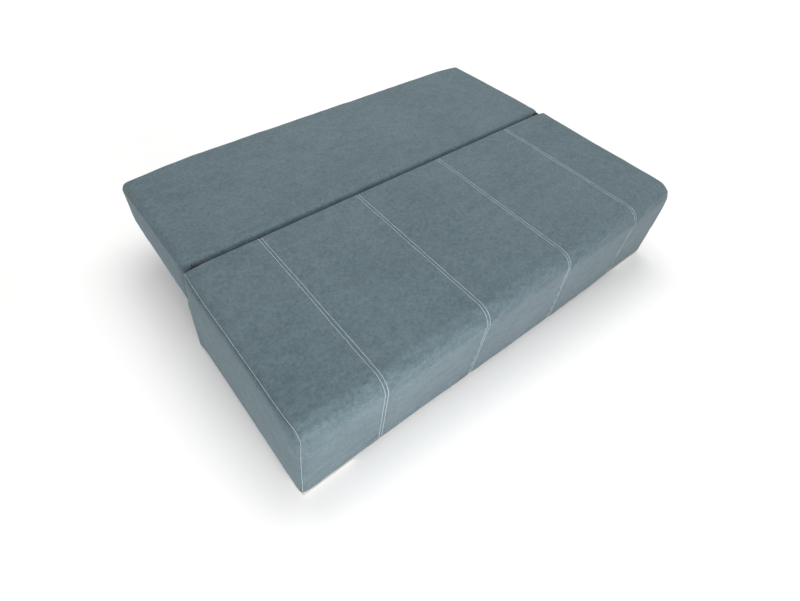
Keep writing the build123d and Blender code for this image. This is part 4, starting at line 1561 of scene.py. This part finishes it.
def add_softbox(name, place, target, size, power):
    data = bpy.data.lights.new(name, "AREA")
    data.shape = "RECTANGLE"
    data.size, data.size_y = size
    data.energy = power
    light = bpy.data.objects.new(name, data)
    light.location = place
    ahead = Vector(target) - Vector(place)
    light.rotation_euler = ahead.to_track_quat("-Z", "Y").to_euler()
    bpy.context.scene.collection.objects.link(light)


def shown_directly(shader):
    """1 for rays that show the backdrop: from the camera, mirrored, or through glass."""
    seen = shader.node("ShaderNodeLightPath", output="Is Camera Ray")
    mirrored = shader.node("ShaderNodeLightPath", output="Is Glossy Ray")
    through = shader.node("ShaderNodeLightPath", output="Is Transmission Ray")
    return seen.math("MAXIMUM", seen.math("MAXIMUM", seen, mirrored), through)


def add_floor():
    """A wide floor whose lift grows away from the sofa until it shows white."""
    settings = bpy.context.scene.sofa_stage
    mesh = bpy.data.meshes.new("floor")
    corners = [(-FLOOR_REACH, -FLOOR_REACH, 0), (FLOOR_REACH, -FLOOR_REACH, 0),
               (FLOOR_REACH, FLOOR_REACH, 0), (-FLOOR_REACH, FLOOR_REACH, 0)]
    mesh.from_pydata(corners, [], [(0, 1, 2, 3)])
    floor = bpy.data.objects.new("floor", mesh)
    bpy.context.scene.collection.objects.link(floor)
    shader = Shader(new_material("studio_floor"), Roughness=0.9, Emission_Strength=1.0,
                    Specular_IOR_Level=0.0, Base_Color=rgba(settings.floor))
    away = shader.node("ShaderNodeVectorMath", {"operation": "LENGTH"}, {0: shader.place()}, 1)
    shown = shown_directly(shader)
    far = shader.spread(away, low=FAR_START, high=FAR_END)
    shader.feed("Emission Color", shown * (settings.lift + FAR_LIFT * far))
    mesh.materials.append(shader.owner)


def light_world():
    """Even light from all round, over a backdrop that shows white."""
    settings = bpy.context.scene.sofa_stage
    world = bpy.data.worlds.new("studio")
    bpy.context.scene.world = world
    shader = Shader(world, "Background", Color=(1, 1, 1, 1))
    shader.feed("Strength", settings.sky + shown_directly(shader) * (1.0 - settings.sky))


class SOFABED_OT_stage(bpy.types.Operator):
    """Sets the camera, the floor and plain soft studio light"""

    bl_idname = "sofabed.stage"
    bl_label = "Stage"

    def execute(self, context):
        settings = context.scene.sofa_stage
        context.scene.view_settings.view_transform = "Standard"
        add_camera()
        add_floor()
        light_world()
        for name, box in SOFTBOXES.items():
            add_softbox(name + "_softbox", power=getattr(settings, name), **box)
        return {"FINISHED"}


OPERATORS = [
    SOFABED_OT_seat_cover,
    SOFABED_OT_side_panels,
    SOFABED_OT_backrest_cover,
    SOFABED_OT_topstitching,
    SOFABED_OT_hinge_pockets,
    SOFABED_OT_apron_hem,
    SOFABED_OT_foot_screws,
    SOFABED_OT_chest_finish,
    SOFABED_OT_frame_finish,
    SOFABED_OT_fittings_finish,
    SOFABED_OT_stage,
]


class SOFABED_PT_pieces(bpy.types.Panel):
    """Lists the pieces and their settings"""

    bl_idname = "SOFABED_PT_pieces"
    bl_label = "Storage sofa bed"
    bl_space_type = "VIEW_3D"
    bl_region_type = "UI"
    bl_category = "Sofa bed"

    def draw(self, context):
        for operator in OPERATORS:
            self.layout.operator(operator.bl_idname)
        for name, group in SETTINGS.items():
            settings = getattr(context.scene, name)
            for key in group.__annotations__:
                self.layout.prop(settings, key)


def register():
    for name, group in SETTINGS.items():
        bpy.utils.register_class(group)
        setattr(bpy.types.Scene, name, bpy.props.PointerProperty(type=group))
    for operator in OPERATORS:
        bpy.utils.register_class(operator)
    bpy.utils.register_class(SOFABED_PT_pieces)


def unregister():
    bpy.utils.unregister_class(SOFABED_PT_pieces)
    for operator in reversed(OPERATORS):
        bpy.utils.unregister_class(operator)
    for name, group in SETTINGS.items():
        delattr(bpy.types.Scene, name)
        bpy.utils.unregister_class(group)


def run(operator):
    group, name = operator.bl_idname.split(".")
    getattr(getattr(bpy.ops, group), name)()


def main():
    register()
    for operator in OPERATORS:
        run(operator)


if __name__ == "__main__":
    main()
